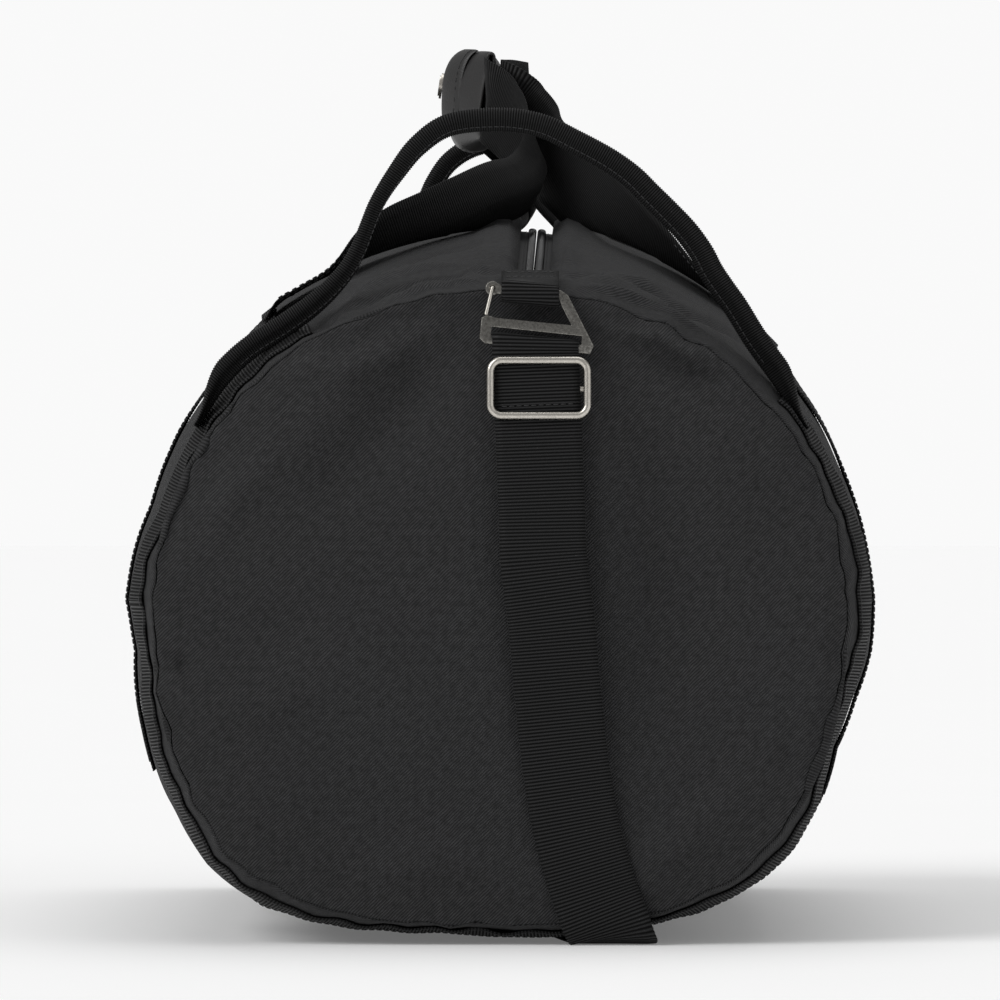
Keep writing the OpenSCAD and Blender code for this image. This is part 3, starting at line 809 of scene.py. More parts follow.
def metal_finish(name, colour, dark, tarnish, roughness):
    if name in bpy.data.materials:
        return bpy.data.materials[name]
    material, tree, shader = new_finish(name)
    worn = place_group(
        tree, "rubbed_metal", build_tarnish_group,
        Colour=rgba(colour), Dark=rgba(dark), Tarnish=tarnish, Roughness=roughness,
    )
    tree.links.new(worn.outputs["Colour"], shader.inputs["Base Color"])
    tree.links.new(worn.outputs["Roughness"], shader.inputs["Roughness"])
    shader.inputs["Metallic"].default_value = 1.0
    add_bump(tree, shader, worn.outputs["Height"], 0.00003, 0.6)
    return material


def nickel():
    colour = bpy.context.scene.duffel_metal.nickel
    return metal_finish("bright_nickel", colour, (0.3, 0.28, 0.25), 0.35, 0.26)


def gunmetal():
    colour = bpy.context.scene.duffel_metal.gunmetal
    return metal_finish("aged_gunmetal", colour, (0.04, 0.038, 0.035), 0.65, 0.22)


# ---------- pieces ----------


def seat(piece, slot, body=None, *nodes):
    """Attaches a piece to what it rides on and hides the frame nodes it stands for. The slot is not used."""
    if body:
        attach(piece, body)
    if nodes:
        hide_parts(*nodes)
    return piece


def near(points):
    """Mirrors far-end points to the near end."""
    return np.asarray(points, float) * np.array([1, -1, 1])


class DUFFEL_OT_sew_barrel(bpy.types.Operator):
    """Sew the barrel's cloth, with its creases, gathers and hemmed mouth"""

    bl_idname = "duffel.sew_barrel"
    bl_label = "Sew Barrel"

    def execute(self, context):
        hem_gap = context.scene.duffel_zip.hem_gap
        rows = np.sin(np.linspace(-math.pi / 2, math.pi / 2, 150)) * HALF_LENGTH * 0.45
        rows = rows + np.linspace(-1, 1, 150) * HALF_LENGTH * 0.55
        mouth = ZIP_REACH + 5
        rows[np.argmin(np.abs(rows - mouth))] = mouth
        rows[np.argmin(np.abs(rows + mouth))] = -mouth
        middle_x = on_zip(rows, 0, 4)[:, 0]
        width = half_width(rows)
        right = np.arccos((middle_x + hem_gap) / width)
        left = np.arccos((middle_x - hem_gap) / width)
        columns = 196
        share = np.linspace(0, 1, columns)
        hem = [right[:, None] + (left - 2 * math.pi - right)[:, None] * share]
        inner = left[:, None] + (right - left)[:, None] * np.linspace(0, 1, 6)[1:-1] - 2 * math.pi
        angles = np.concatenate(hem + [inner], axis=1)
        y = np.broadcast_to(rows[:, None], angles.shape)
        base = barrel_point(y, angles)
        edge = np.minimum(share, 1 - share) * 990
        roll = 1.1 * np.exp(-(((edge - 4.5) / 3.5) ** 2)) - 2.2 * np.exp(-((edge / 1.6) ** 2))
        mouth_share = np.clip((mouth - np.abs(rows)) / 12, 0, 1)[:, None]
        hemmed = np.concatenate([roll * mouth_share, np.zeros_like(inner)], axis=1)
        seam_dip = -0.8 * np.exp(-(HALF_LENGTH - np.abs(y)) / 2.2)
        points = barrel_point(y, angles, barrel_relief(base) + hemmed + seam_dip)
        tucked = [barrel_point(np.full(angles.shape[1], side * 262.5), row, -3.4)
                  for side, row in ((-1, angles[0]), (1, angles[-1]))]
        points = np.concatenate([tucked[0][None], points, tucked[1][None]])
        rows_y = np.concatenate([[-HALF_LENGTH], rows, [HALF_LENGTH]])

        def kept(i, k):
            return k < columns - 1 or max(abs(rows_y[i]), abs(rows_y[i + 1])) > mouth + 0.01

        total = points.shape[1]
        faces = grid_faces(len(points), total, True, kept)
        reach = np.concatenate([share, np.full(total - columns, 1.0)]) * 990
        uv = np.stack(np.broadcast_arrays(reach[None, :], rows_y[:, None]), -1).reshape(-1, 2)
        piece = new_piece("barrel_cloth", points.reshape(-1, 3), faces, twill(), uv)
        apply_modifier(piece, "SOLIDIFY", thickness=1.4 * MM, offset=-1.0)
        seat(piece, "body_cloth", "bag", "body_panel")
        return {"FINISHED"}


class DUFFEL_OT_sew_end_panels(bpy.types.Operator):
    """Sew the two domed end panels, tucked into their seams"""

    bl_idname = "duffel.sew_end_panels"
    bl_label = "Sew End Panels"

    def execute(self, context):
        around = 200
        angles = np.linspace(0, 2 * math.pi, around, endpoint=False)
        shares = np.concatenate([[0.988, 0.992, 0.991, 0.986], np.linspace(0.977, 0.012, 90)])
        for end, side in (("near", -1), ("far", 1)):
            smooth = panel_point(angles[None, :], shares[:, None])
            relief = panel_relief(smooth if side > 0 else near(smooth), side < 0)
            rim = smooth[:1] / shares[0] if side > 0 else near(smooth[:1]) / shares[0]
            rim = stacked(rim[..., 0], side * HALF_LENGTH, rim[..., 2] + (MID_Z - 2) * (1 - 1 / shares[0]))
            give = barrel_relief(rim) / 150 * shares[:, None] ** 8
            points = smooth.copy()
            points[..., 0] *= 1 + give
            points[..., 2] = MID_Z + (points[..., 2] - MID_Z) * (1 + give)
            points[..., 1] += relief
            points[0, :, 1] = HALF_LENGTH - 3.0
            points[1, :, 1] = HALF_LENGTH - 1.2
            points[2, :, 1] = HALF_LENGTH + 0.1
            flat = points.reshape(-1, 3)
            hub = len(flat)
            flat = np.vstack([flat, points[-1].mean(0)[None]])
            faces = grid_faces(len(shares), around, True)
            last = (len(shares) - 1) * around
            faces += [(last + k, last + (k + 1) % around, hub) for k in range(around)]
            uv = flat[:, [0, 2]]
            points_out = near(flat) if side < 0 else flat
            piece = new_piece(f"{end}_end_cloth", points_out, faces, twill(), uv, flip=side > 0)
            apply_modifier(piece, "SOLIDIFY", thickness=1.2 * MM, offset=-1.0)
            seat(piece, "end_cloth", "bag", f"{end}_end_panel")
        return {"FINISHED"}


class DUFFEL_OT_bind_seams(bpy.types.Operator):
    """Bind the raw seams inside the bag with woven tape"""

    bl_idname = "duffel.bind_seams"
    bl_label = "Bind Seams"

    def execute(self, context):
        for end, y in (("near", -257), ("far", 257)):
            length, place = along_barrel(y, 2, -356)
            name = f"{end}_binding"
            piece = woven_band(name, length, 13, place, tape_weave(), -6.2, 1.0, pitch=2.0, places=5)
            seat(piece, "binding", "bag", f"{end}_seam_tape")
        return {"FINISHED"}


class DUFFEL_OT_sew_girths(bpy.types.Operator):
    """Sew the girth webbing round each end of the barrel"""

    bl_idname = "duffel.sew_girths"
    bl_label = "Sew Girths"

    def execute(self, context):
        for end, y in (("near", -GIRTH_Y), ("far", GIRTH_Y)):
            length, place = along_barrel(y, 39, -277)
            piece = woven_band(f"{end}_girth", length, 25, place, webbing_weave(), 0.3)
            seat(piece, "narrow_webbing", "bag", f"{end}_girth_webbing")
            rows = []
            for v in (-10.6, 10.6):
                for k in range(24):
                    a, b = length * k / 24, length * (k + 1) / 24
                    rows += stitch_row(place, (a, v), (b, v), WEBBING_T + 0.15, thread=0.4)
            seat(sew(f"{end}_girth_stitches", rows, thread_finish()), "narrow_webbing", "bag")
        return {"FINISHED"}


GRAB_FEET = [(-138, 230), (-126, 246), (-112, 260), (-96, 270.5), (-84, 279), (-75.5, 286.5)]
NEAR_GRAB = GRAB_FEET + [
    (-68, 295), (-62.5, 304.5), (-58.5, 315), (-54, 325.5), (-46, 338), (-36, 350.5), (-22, 359.6),
    (0, 361.8),
    (18, 359.2), (33, 352.2), (47.5, 344.3), (58, 336.8), (66, 328.9), (74, 321), (82, 312.5), (88.5, 303.5),
    (93, 295), (98, 287.5), (104, 279), (113, 264.5), (125, 248), (139, 229),
]
FAR_GRAB = GRAB_FEET + [
    (-66, 297), (-57, 310), (-49, 323), (-42.5, 334), (-37.5, 344), (-32.5, 354), (-25, 364), (-14, 371),
    (0, 374), (16, 372.5), (33, 366), (49, 355), (64, 340), (77, 324), (88, 307), (97, 290), (106, 276),
    (115, 262), (126, 247), (139, 229),
]


def grab_section():
    """Outline of webbing folded over a cord: a round roll above and a stitched flange below."""
    roll = [(4.3 * math.cos(a), 1.6 + 4.2 * math.sin(a)) for a in np.radians(np.linspace(-38, 218, 19))]
    left = [(-2.2, -2.4), (-2.0, -4.4), (-1.5, -6.0)]
    right = [(1.5, -6.0), (2.0, -4.4), (2.2, -2.4)]
    return np.array(roll + left + [(-0.3, -6.2), (0.3, -6.2)] + right)


class DUFFEL_OT_fold_grabs(bpy.types.Operator):
    """Fold and stitch the grab handle at each end"""

    bl_idname = "duffel.fold_grabs"
    bl_label = "Fold Grab Handles"

    def execute(self, context):
        webbing = context.scene.duffel_webbing
        for end, side in (("near", -1), ("far", 1)):
            path = [(x, side * GIRTH_Y, z) for x, z in (NEAR_GRAB if side < 0 else FAR_GRAB)]
            length, place = along_path(path, [(0, 1, 0)] * len(path))
            count = round(length / webbing.fine_pitch * 4)
            s = np.linspace(0, length, count + 1)[:, None]
            section = grab_section()
            rib = 0.5 - 0.5 * np.cos(2 * math.pi * s / webbing.fine_pitch)
            swell = 1 - 0.09 * (1 - rib)
            foot = np.clip(np.minimum(s, length - s) / 30, 0, 1)
            foot = foot * foot * (3 - 2 * foot)
            right_side = np.clip((s / length - 0.55) / 0.2, 0, 1)
            wide = swell * (1 + 1.6 * (1 - foot))
            left_leg = np.exp(-(((s / length - 0.3) / 0.09) ** 2))
            tall = swell * (0.25 + 0.75 * foot) * (0.9 + 0.05 * right_side - 0.32 * left_leg)
            lean = 1.3 * right_side * foot
            v = section[None, :, 0] * wide - lean * section[None, :, 1] * 0.25
            out = section[None, :, 1] * tall - (1 - foot) * 5.2
            rings = place(np.broadcast_to(s, v.shape), v, out)
            columns = len(section)
            faces = grid_faces(len(rings), columns, True)
            flat = rings.reshape(-1, 3)
            hubs = [rings[0].mean(0), rings[-1].mean(0)]
            flat = np.vstack([flat, hubs])
            last = (len(rings) - 1) * columns
            for k in range(columns):
                faces.append(((k + 1) % columns, k, len(flat) - 2))
                faces.append((last + k, last + (k + 1) % columns, len(flat) - 1))
            around = np.cumsum(np.r_[0, np.linalg.norm(np.diff(section, axis=0), axis=1)])
            uv = np.stack(np.broadcast_arrays(around[None, :], s), -1).reshape(-1, 2)
            uv = np.vstack([uv, [[0, 0], [0, length]]])
            quads = [f for f in faces if len(f) == 4]
            piece = new_piece(
                f"{end}_grab", flat, faces, fine_weave(), uv, flip=signed_volume(flat, quads) < 0
            )
            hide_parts(f"{end}_grab_handle")
            rows = []
            for face_v in (2.25, -2.25):
                lift = near_face(place, face_v)
                rows += stitch_row(lift, (34, -3.4), (length - 34, -3.4), 0.0, pitch=2.8, thread=0.5)
            seams = sew(f"{end}_grab_stitches", rows, thread_finish())
            for mesh in (piece, seams):
                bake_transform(mesh)
        return {"FINISHED"}


def near_face(place, v):
    """The side face of a folded run at v, as a place whose across is the way through the fold."""

    def on_face(s, q, out):
        reach = v + math.copysign(1, v) * np.asarray(out)
        return place(s, reach, q)

    return on_face


def sewn_box(place, low, high, half, out):
    """A box of stitches with its two diagonals."""
    corners = [(low, -half), (high, -half), (high, half), (low, half)]
    rows = []
    for k in range(4):
        rows += stitch_row(place, corners[k], corners[(k + 1) % 4], out)
    rows += stitch_row(place, corners[0], corners[2], out)
    rows += stitch_row(place, corners[1], corners[3], out)
    return rows


class DUFFEL_OT_sew_bands(bpy.types.Operator):
    """Sew the carry handles' bands down the sides of the barrel"""

    bl_idname = "duffel.sew_bands"
    bl_label = "Sew Side Bands"

    def execute(self, context):
        for side, start, turn in (("left", 127.5, 77.5), ("right", 44.5, -77.5)):
            for end, y in (("near", -BAND_Y), ("far", BAND_Y)):
                length, place = along_barrel(y, start, turn)
                name = f"{side}_{end}_band"
                piece = woven_band(f"{name}_webbing", length, STRAP_WIDTH, place, webbing_weave(), 0.4)
                seat(piece, "wide_webbing", "bag", name)
                top = WEBBING_T + 0.3
                rows = stitch_row(place, (8, -16.4), (length - 4, -16.4), top)
                rows += stitch_row(place, (8, 16.4), (length - 4, 16.4), top)
                rows += sewn_box(place, 12, 38, 14, top)
                rows += sewn_box(place, length - 34, length - 5, 14, top)
                seat(sew(f"{name}_stitches", rows, thread_finish()), "wide_webbing", "bag")
        return {"FINISHED"}


# Each carry handle's near half: places and the way its width points
LEFT_HALF = [
    ((-106, -140, 275), (0, -1, 0)), ((-100, -140.5, 284), (0, -1, 0)), ((-90, -142, 290), (0, -1, 0)),
    ((-76, -142, 297), (0, -1, 0.08)), ((-60, -141, 304.5), (0, -0.8, 0.6)),
    ((-45, -140, 311), (0, -0.55, 0.83)), ((-30, -137, 317), (0, -0.5, 0.86)),
    ((-14, -132, 324), (-0.05, -0.45, 0.9)), ((2, -123, 332), (-0.1, -0.35, 0.93)),
    ((15, -109, 337), (-0.15, -0.25, 1)), ((21, -91, 345), (-0.15, -0.2, 1)),
    ((17, -73, 357), (-0.1, -0.15, 1)), ((6, -57, 370), (0, -0.1, 1)), ((-4, -45, 379), (0, 0, 1)),
    ((-6, -36, 381.5), (0, 0, 1)), ((-7, -28, 382), (0, 0, 1)), ((-10, -14, 382), (0, 0, 1)),
    ((-12, 0, 382), (0, 0, 1)),
]
RIGHT_HALF = [
    ((120, -140, 259), (0, -1, 0)), ((115, -140, 270), (0, -1, 0)), ((107, -139, 280), (0.05, -1, 0.1)),
    ((90, -135, 290), (0.15, -0.95, 0.3)), ((76, -128, 301), (0.25, -0.8, 0.5)),
    ((63.5, -118, 311), (0.35, -0.6, 0.7)), ((52, -106, 322), (0.42, -0.4, 0.8)),
    ((42, -93, 332), (0.5, -0.25, 0.84)), ((32, -80, 342), (0.32, -0.12, 0.93)),
    ((23, -68, 351), (0.14, 0, 1)), ((17.5, -58, 361), (0.06, 0, 1)), ((9.5, -51, 371), (0.03, 0, 1)),
    ((3.5, -47, 377.5), (0.02, 0, 1)), ((0.5, -41.5, 380), (0, 0, 1)), ((2.5, -34, 380.5), (0, 0, 1)),
    ((6, -24, 381), (0, 0, 1)), ((10, -12, 381), (0, 0, 1)), ((13, 0, 381), (0, 0, 1)),
]


def rest_on_barrel(points, gap):
    """Moves points that lie inside the barrel's upper half out to its face."""
    reach_x = half_width(points[..., 1]) + gap
    reach_z = crown_z(np.clip(points[..., 1], -HALF_LENGTH, HALF_LENGTH)) - MID_Z + gap
    share = np.sqrt((points[..., 0] / reach_x) ** 2 + ((points[..., 2] - MID_Z) / reach_z) ** 2)
    push = np.where(share < 1, 1 / np.maximum(share, 0.5), 1.0)
    return stacked(points[..., 0] * push, points[..., 1], MID_Z + (points[..., 2] - MID_Z) * push)


def whole_run(half):
    """Both halves of a handle from its near half."""
    places = [row[0] for row in half]
    across = [row[1] for row in half]
    places += [(x, -y, z) for x, y, z in places[-2::-1]]
    across += [(x, -y, z) for x, y, z in across[-2::-1]]
    return places, across


class DUFFEL_OT_hang_handles(bpy.types.Operator):
    """Hang the two carry handles, which bend at their sewn feet"""

    bl_idname = "duffel.hang_handles"
    bl_label = "Hang Carry Handles"

    def execute(self, context):
        runs = (
            ("left", LEFT_HALF, 0.0, 0.7, (-0.108, 0, 0.272), (-0.086, 0, 0.294)),
            ("right", RIGHT_HALF, 2.6, -0.12, (0.120, 0, 0.260), (0.100, 0, 0.285)),
        )
        for side, half, gap, most, start, end in runs:

            def fold(share, most=most):
                from_foot = np.minimum(share, 1 - share)
                return most * np.exp(-(((from_foot - 0.26) / 0.11) ** 2))

            length, place = along_path(*whole_run(half), fold=fold, resting=gap)
            fine = context.scene.duffel_webbing.fine_pitch
            piece = woven_band(
                f"{side}_carry_webbing", length, STRAP_WIDTH, place, fine_weave(), -0.7, pitch=fine, places=7
            )
            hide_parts(f"{side}_carry_handle")
            rows = []
            for out in (0.68, -0.68):
                for v in (-16.6, 16.6):
                    rows += stitch_row(lifted(place, out), (14, v), (62, v), 0.0)
                    rows += stitch_row(lifted(place, out), (length - 62, v), (length - 14, v), 0.0)
            seams = sew(f"{side}_carry_stitches", rows, thread_finish())
            for mesh in (piece, seams):
                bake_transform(mesh)
        return {"FINISHED"}


def lifted(place, offset):
    """A run's face on one side: out is measured away from that face."""

    def on_face(s, v, out):
        return place(s, v, offset + math.copysign(1, offset) * np.asarray(out))

    return on_face


def wrap_point(angle, out, y):
    """Section of the grip's wrap at an angle in radians. It narrows towards both ends and leans a little."""
    narrow = np.clip((np.abs(y) - 8) / 28, 0, 1) ** 1.2
    z = 382 + (21.5 * (1 - 0.1 * narrow) + out) * signed_pow(np.sin(angle), 0.8)
    x = -12 + (12.5 * (1 - 0.86 * narrow) + out) * signed_pow(np.cos(angle), 0.8)
    return x + narrow * (6 + (z - 382) * 0.1), z


class DUFFEL_OT_wrap_grip(bpy.types.Operator):
    """Wrap the left grip in soft leather with a tongue and a snap"""

    bl_idname = "duffel.wrap_grip"
    bl_label = "Wrap Grip"

    def execute(self, context):
        def round_grip(s, v, out):
            s, v, out = np.broadcast_arrays(s, v, out)
            angle = s / 17.5
            dent = 0.7 * np.sin(v / 13 + 3 * angle) + 0.8 * np.cos(v / 36 * math.pi) * 0.5
            x, z = wrap_point(angle, out + dent, v)
            return stacked(x, v, z)

        around = 64
        angles = np.linspace(0, 2 * math.pi, around, endpoint=False)
        places = np.concatenate([[-35.4], np.linspace(-35, 35, 30), [35.4]])
        outs = np.concatenate([[-0.5], np.zeros(30), [-0.5]])
        rings = round_grip(angles[None, :] * 17.5, places[:, None], outs[:, None])
        uv = np.stack(np.broadcast_arrays(angles[None, :] * 17.5, places[:, None]), -1).reshape(-1, 2)
        faces = grid_faces(len(places), around, True)
        piece = new_piece("grip_wrap", rings.reshape(-1, 3), faces, leather_finish(), uv)
        apply_modifier(piece, "SOLIDIFY", thickness=1.5 * MM, offset=-1.0)
        seat(piece, "wide_webbing", "left_handle", "handle_wrap")
        rows = []
        for v in (-32.5, 32.5):
            rows += stitch_row(round_grip, (-28, v), (28, v), 0.1, pitch=2.6, thread=0.45)
        seat(sew("grip_stitches", rows, thread_finish()), "wide_webbing", "left_handle")

        def tongue(s, v, out):
            s, v, out = np.broadcast_arrays(s, v, out)
            narrow = 1 - 0.35 * np.clip((s - 26) / 12, 0, 1) ** 2
            angle = math.radians(98) + s / 18.2
            x, z = wrap_point(angle, out + 1.1 + 0.5 * np.clip((s - 24) / 10, 0, 1), v * narrow)
            return stacked(x, v * narrow, z)

        leaf = leather_leaf("leather_tongue", 36.5, 46, tongue, leather_finish(), 1.7)
        seat(leaf, "flap_leather", "flap", "wrap_flap")
        rows = stitch_row(tongue, (3, -20), (33, -20), 1.75, pitch=2.6, thread=0.4)
        rows += stitch_row(tongue, (3, 20), (33, 20), 1.75, pitch=2.6, thread=0.4)
        rows += stitch_row(tongue, (33, -20), (33, 20), 1.75, pitch=2.6, thread=0.4)
        seat(sew("tongue_stitches", rows, thread_finish()), "flap_leather", "flap")
        return {"FINISHED"}


def leather_leaf(name, length, width, place, material, thickness):
    """A flat leather piece with rolled edges."""
    rows, places = 48, 25
    s = np.linspace(0, length, rows)[:, None]
    u = np.linspace(-1, 1, places)[None, :]
    rim = np.minimum(np.minimum(s, length - s), (1 - np.abs(u)) * width / 2)
    soft = np.sqrt(np.clip(rim / 1.2, 0.03, 1))
    v = u * width / 2
    half = thickness / 2
    upper, lower = place(s, v, half + half * soft), place(s, v, half - half * soft)
    points = np.concatenate([upper.reshape(-1, 3), lower.reshape(-1, 3)])
    top = grid_faces(rows, places, False)
    count = rows * places
    faces = top + [tuple(count + k for k in reversed(f)) for f in top]
    border = [(0, k) for k in range(places)] + [(i, places - 1) for i in range(1, rows)]
    border += [(rows - 1, k) for k in range(places - 2, -1, -1)] + [(i, 0) for i in range(rows - 2, 0, -1)]
    ids = [i * places + k for i, k in border]
    for k, a in enumerate(ids):
        b = ids[(k + 1) % len(ids)]
        faces.append((b, a, count + a, count + b))
    uv = np.stack(np.broadcast_arrays(v, s), -1).reshape(-1, 2)
    return closed_piece(name, points, faces, material, np.vstack([uv, uv]))


class DUFFEL_OT_weave_zip(bpy.types.Operator):
    """Weave the zip's tapes and wind its two rows of coil"""

    bl_idname = "duffel.weave_zip"
    bl_label = "Weave Zip"

    def execute(self, context):
        pitch = context.scene.duffel_zip.coil_pitch
        reach = CROWN_R * math.asin(ZIP_REACH / CROWN_R)
        for side, sign in (("left", -1), ("right", 1)):

            def tape_place(s, v, out, sign=sign):
                return on_zip(np.asarray(s) - reach, sign * 7.7 + np.asarray(v), out)

            tape = woven_band(
                f"{side}_zip_tape", 2 * reach, 14.6, tape_place, tape_weave(), 0.0, 0.7, pitch=1.2, places=7
            )
            seat(tape, "zip_tape", "bag", f"zip_tape_{side}")
            turns = int(2 * reach / pitch)
            t = np.linspace(0, turns, turns * 10 + 1)
            turn = 2 * math.pi * t + (math.pi if sign > 0 else 0)
            along = t / turns * 2 * (reach - 1) - reach + 1
            across = sign * 2.15 + 1.5 * np.cos(turn) * (-sign)
            high = 1.45 + 0.78 * np.sin(turn)
            line = on_zip(along, across, high)
            forward = np.gradient(line, axis=0)
            forward /= np.linalg.norm(forward, axis=1)[:, None]
            side_way = np.cross(forward, np.array([0, 1.0, 0]))
            side_way /= np.linalg.norm(side_way, axis=1)[:, None]
            up_way = np.cross(forward, side_way)
            spokes = np.radians([0, 72, 144, 216, 288])
            wire = 0.42
            sideways = np.cos(spokes)[None, :, None] * side_way[:, None]
            upwards = np.sin(spokes)[None, :, None] * up_way[:, None]
            rings = line[:, None] + wire * (sideways + upwards)
            rows, columns = rings.shape[:2]
            points = rings.reshape(-1, 3)
            faces = grid_faces(rows, columns, True)
            flip = signed_volume(points, faces) < 0
            hubs = np.stack([line[0], line[-1]])
            last = (rows - 1) * columns
            for k in range(columns):
                faces.append(((k + 1) % columns, k, len(points)))
                faces.append((last + k, last + (k + 1) % columns, len(points) + 1))
            coil = new_piece(f"{side}_zip_coil", np.vstack([points, hubs]), faces, coil_finish(), flip=flip)
            seat(coil, "zip_coil", "bag", f"zip_coil_{side}")
            rows_of_thread = []
            for k in range(12):
                a, b = 2 * reach * k / 12, 2 * reach * (k + 1) / 12
                rows_of_thread += stitch_row(tape_place, (a, -sign * 2.6), (b, -sign * 2.6), 0.75, 3.2, 0.35)
            seat(sew(f"{side}_zip_stitches", rows_of_thread, thread_finish()), "zip_tape", "bag")
        return {"FINISHED"}


def loop_run():
    """The strap loop over the near seam and round its roll, with the way its width points."""
    x = ZIP_X - 2.8
    over = [(x, -245, float(crown_z(-245)) + 1.5), (x, -257, float(crown_z(-257)) + 1.8),
            (x, -267, float(crown_z(-263)) + 1.5)]
    around = [
        (x, LOOP_PLACE[1] - 4.6 * math.cos(a), LOOP_PLACE[2] + 4.6 * math.sin(a))
        for a in np.radians(np.arange(70, -156, -25))
    ]
    rolled = (math.cos(math.radians(6)), 0, -math.sin(math.radians(6)))
    return np.array(over + around), np.array([(1, 0, 0)] * 3 + [rolled] * len(around))


class DUFFEL_OT_fold_loops(bpy.types.Operator):
    """Fold the webbing loop that each hook hangs from"""

    bl_idname = "duffel.fold_loops"
    bl_label = "Fold Strap Loops"

    def execute(self, context):
        path, across = loop_run()
        for end in ("near", "far"):
            if end == "far":
                path, across = far_twin(path), turned(across)
            length, place = along_path(path, across)
            piece = woven_band(f"{end}_loop_webbing", length, 25, place, webbing_weave(), -0.7, places=13)
            seat(piece, "narrow_webbing", "bag", f"{end}_strap_loop")
            rows = stitch_row(lifted(place, 0.68), (5, -11), (5, 11), 0.0) if end == "near" else []
            rows += stitch_row(lifted(place, 0.68), (15, -11), (15, 11), 0.0)
            seat(sew(f"{end}_loop_stitches", rows, thread_finish()), "narrow_webbing", "bag")
        return {"FINISHED"}


STRAP_LOWER = [
    (22.5, -287, 140), (25, -283, 112), (28.5, -278.6, 80), (33.5, -274.2, 50), (41, -270.2, 24),
    (47.5, -267.4, 7), (50, -258, 1.6), (47, -237, 0.75), (31.5, -119, 0.75), (16, 0, 0.75),
]


def strap_run(tail):
    """The strap from its sewn tail behind, round the hook's bar and down to the bag's middle line."""
    bar_mid = -22.5
    roll = math.radians(6)
    bar = (1.2 + 0.6 + bar_mid * math.sin(roll), bar_mid * math.cos(roll))
    front_y, back_y, turn_r = -2.4, 2.7, 3.4
    half_gap = (back_y - front_y) / 2
    back = [(bar[0], back_y, z) for z in (-tail, -tail / 2 - 14, -28)]
    fold = [
        (bar[0], front_y + half_gap * (1 + math.cos(a)), bar[1] + turn_r * math.sin(a))
        for a in np.radians(np.arange(0, 181, 30))
    ]
    front = [(bar[0] + 0.04 * (-28 - z), front_y, z) for z in (-28, -46, -70, -94, -118)]
    upper = near_frame(back + fold + front)
    rolled, level = (math.cos(roll), 0, -math.sin(roll)), (1, 0, 0)
    across = [level, level, rolled] + [rolled] * len(fold) + [rolled] + [level] * 4
    return np.vstack([upper, STRAP_LOWER]), np.array(across + [level] * len(STRAP_LOWER), float)


class DUFFEL_OT_thread_strap(bpy.types.Operator):
    """Thread the shoulder strap from each hook, down its panel and under the bag"""

    bl_idname = "duffel.thread_strap"
    bl_label = "Thread Shoulder Strap"

    def execute(self, context):
        for end, tail in (("near", 52), ("far", 60)):
            path, across = strap_run(tail)
            if end == "far":
                path, across = far_twin(path), turned(across)
            length, place = along_path(path, across)
            piece = woven_band(f"{end}_strap_webbing", length, STRAP_WIDTH, place, webbing_weave(), -0.7)
            nodes = ("near_strap_end", "shoulder_strap") if end == "near" else ("far_strap_end",)
            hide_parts(*nodes)
            fold_s = tail - 22
            rows = []
            for s in (4, 8) if end == "far" else (3,):
                rows += stitch_row(lifted(place, -0.68), (s, -16), (s, 16), 0.0)
                front = 2 * fold_s + 9 - s
                rows += stitch_row(lifted(place, 0.68), (front, -16), (front, 16), 0.0)
            seams = sew(f"{end}_strap_stitches", rows, thread_finish())
            for mesh in (piece, seams):
                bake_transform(mesh)
        return {"FINISHED"}


class DUFFEL_OT_finish_metal(bpy.types.Operator):
    """Give the frame's metal pieces their rubbed finishes and soften the hooks' edges"""

    bl_idname = "duffel.finish_metal"
    bl_label = "Finish Metal"

    def execute(self, context):
        finishes = {
            nickel: [
                "adjuster_frame", "adjuster_bar", "near_hook_gate", "far_hook_gate", "snap_cap", "snap_stud"
            ],
            gunmetal: ["near_hook", "far_hook", "zip_slider", "zip_pull", "near_zip_stop", "far_zip_stop"],
        }
        for finish, nodes in finishes.items():
            for name in nodes:
                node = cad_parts[name]
                node.data.materials.clear()
                node.data.materials.append(finish())
        for name in ("near_hook", "far_hook"):
            worn_plate(name)
        return {"FINISHED"}


def worn_plate(name):
    """A plate node's shape again, welded, with its edges worn round."""
    plate = bpy.data.objects.new(f"{name}_plate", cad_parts[name].data.copy())
    bpy.context.scene.collection.objects.link(plate)
    apply_modifier(plate, "WELD", merge_threshold=0.002 * MM)
    apply_modifier(plate, "DECIMATE", decimate_type="DISSOLVE", angle_limit=math.radians(1.5))
    sharp = math.radians(40)
    apply_modifier(plate, "BEVEL", width=0.45 * MM, segments=3, limit_method="ANGLE", angle_limit=sharp)
    bpy.ops.object.shade_smooth_by_angle(angle=math.radians(32))
    return seat(plate, "gunmetal", name, name)


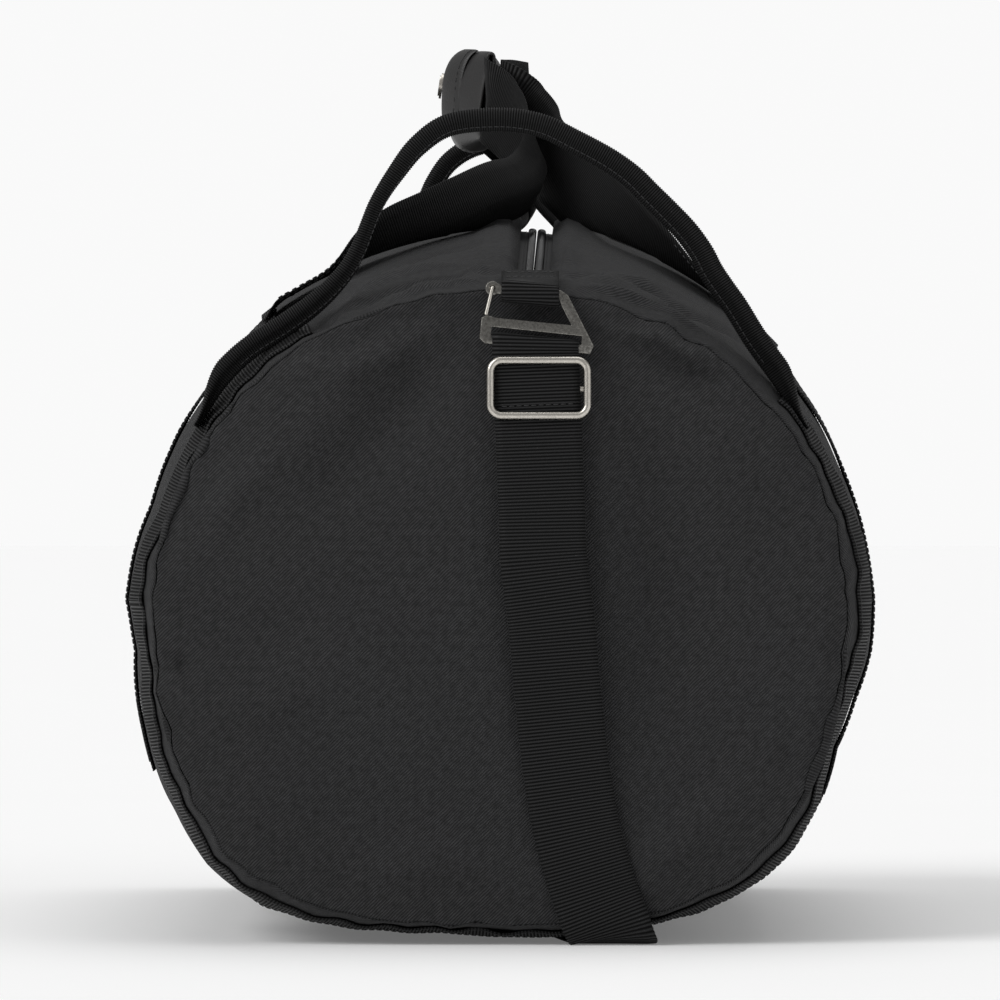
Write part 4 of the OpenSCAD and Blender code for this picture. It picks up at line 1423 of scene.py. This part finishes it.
class DUFFEL_OT_set_stage(bpy.types.Operator):
    """Set the pale floor, the soft lights and the camera"""

    bl_idname = "duffel.set_stage"
    bl_label = "Set Stage"

    def execute(self, context):
        stage = context.scene.duffel_stage
        bpy.ops.object.select_all(action="DESELECT")
        bpy.ops.mesh.primitive_plane_add(size=60, location=(0, 0, 0))
        floor = context.object
        floor.name = "floor"
        pale, tree, shader = new_finish("pale_floor")
        where = object_places(tree)
        cloud = add_node(tree, "ShaderNodeTexNoise", Vector=where, Scale=3.0)
        tree.links.new(remap(tree, cloud.outputs["Fac"], 0.0, 1.0, 0.86, 0.88), shader.inputs["Base Color"])
        shader.inputs["Roughness"].default_value = 0.8
        shader.inputs["Emission Color"].default_value = (1, 1, 1, 1)
        shader.inputs["Emission Strength"].default_value = 0.13
        floor.data.materials.append(pale)
        world = context.scene.world or bpy.data.worlds.new("soft_room")
        context.scene.world = world
        world.use_nodes = True
        background = world.node_tree.nodes["Background"]
        background.inputs["Color"].default_value = (1, 1, 1, 1)
        seen = add_node(world.node_tree, "ShaderNodeLightPath")
        strength = remap(world.node_tree, seen.outputs["Is Camera Ray"], 0.0, 1.0, 0.36, 0.95)
        world.node_tree.links.new(strength, background.inputs["Strength"])
        context.scene.view_settings.view_transform = "Standard"
        lights = (
            ("key", (-1.0, -0.7, 0.95), stage.key_strength, 40),
            ("fill", (1.0, -0.8, 0.35), stage.key_strength * 0.24, 60),
            ("top", (0.1, 0.25, 1.0), stage.key_strength * 0.6, 50),
        )
        for name, way, strength, softness in lights:
            data = bpy.data.lights.new(name, "SUN")
            data.angle = math.radians(softness)
            data.energy = strength
            lamp = bpy.data.objects.new(name, data)
            lamp.location = way
            lamp.rotation_euler = direction_to_euler(-np.array(way))
            context.scene.collection.objects.link(lamp)
        camera_data = bpy.data.cameras.new("camera")
        camera_data.lens = 2.29 * stage.distance * 1000 * 36 / 1000
        camera_data.clip_end = 100
        camera = bpy.data.objects.new("camera", camera_data)
        camera.location = (0, -HALF_LENGTH * MM - stage.distance, stage.camera_height)
        camera.rotation_euler = (math.pi / 2, 0, 0)
        context.scene.collection.objects.link(camera)
        context.scene.camera = camera
        return {"FINISHED"}


def direction_to_euler(direction):
    """Turn that points a light's -Z along a direction."""
    x, y, z = direction / np.linalg.norm(direction)
    return (math.acos(-z), 0, math.atan2(y, x) - math.pi / 2)


PIECE_STEPS = (
    "sew_barrel", "sew_end_panels", "bind_seams", "sew_girths", "fold_grabs", "sew_bands", "hang_handles",
    "wrap_grip", "weave_zip", "fold_loops", "thread_strap", "finish_metal", "set_stage",
)


class DUFFEL_PT_panel(bpy.types.Panel):
    """Lists the bag's settings and steps"""

    bl_label = "Duffel Bag"
    bl_idname = "DUFFEL_PT_panel"
    bl_space_type = "VIEW_3D"
    bl_region_type = "UI"
    bl_category = "Duffel Bag"

    def draw(self, context):
        for group in ("duffel_cloth", "duffel_webbing", "duffel_zip", "duffel_metal", "duffel_stage"):
            settings = getattr(context.scene, group)
            for key in settings.__annotations__:
                self.layout.prop(settings, key)
        for step in PIECE_STEPS:
            self.layout.operator(f"duffel.{step}")


SETTINGS = {
    "duffel_cloth": DuffelClothSettings,
    "duffel_webbing": DuffelWebbingSettings,
    "duffel_zip": DuffelZipSettings,
    "duffel_metal": DuffelMetalSettings,
    "duffel_stage": DuffelStageSettings,
}

CLASSES = (
    *SETTINGS.values(),
    DUFFEL_OT_sew_barrel,
    DUFFEL_OT_sew_end_panels,
    DUFFEL_OT_bind_seams,
    DUFFEL_OT_sew_girths,
    DUFFEL_OT_fold_grabs,
    DUFFEL_OT_sew_bands,
    DUFFEL_OT_hang_handles,
    DUFFEL_OT_wrap_grip,
    DUFFEL_OT_weave_zip,
    DUFFEL_OT_fold_loops,
    DUFFEL_OT_thread_strap,
    DUFFEL_OT_finish_metal,
    DUFFEL_OT_set_stage,
    DUFFEL_PT_panel,
)


def register():
    for cls in CLASSES:
        bpy.utils.register_class(cls)
    for name, cls in SETTINGS.items():
        setattr(bpy.types.Scene, name, bpy.props.PointerProperty(type=cls))


def unregister():
    for name in SETTINGS:
        delattr(bpy.types.Scene, name)
    for cls in reversed(CLASSES):
        bpy.utils.unregister_class(cls)


def main():
    register()
    for step in PIECE_STEPS:
        getattr(bpy.ops.duffel, step)()


if __name__ == "__main__":
    main()
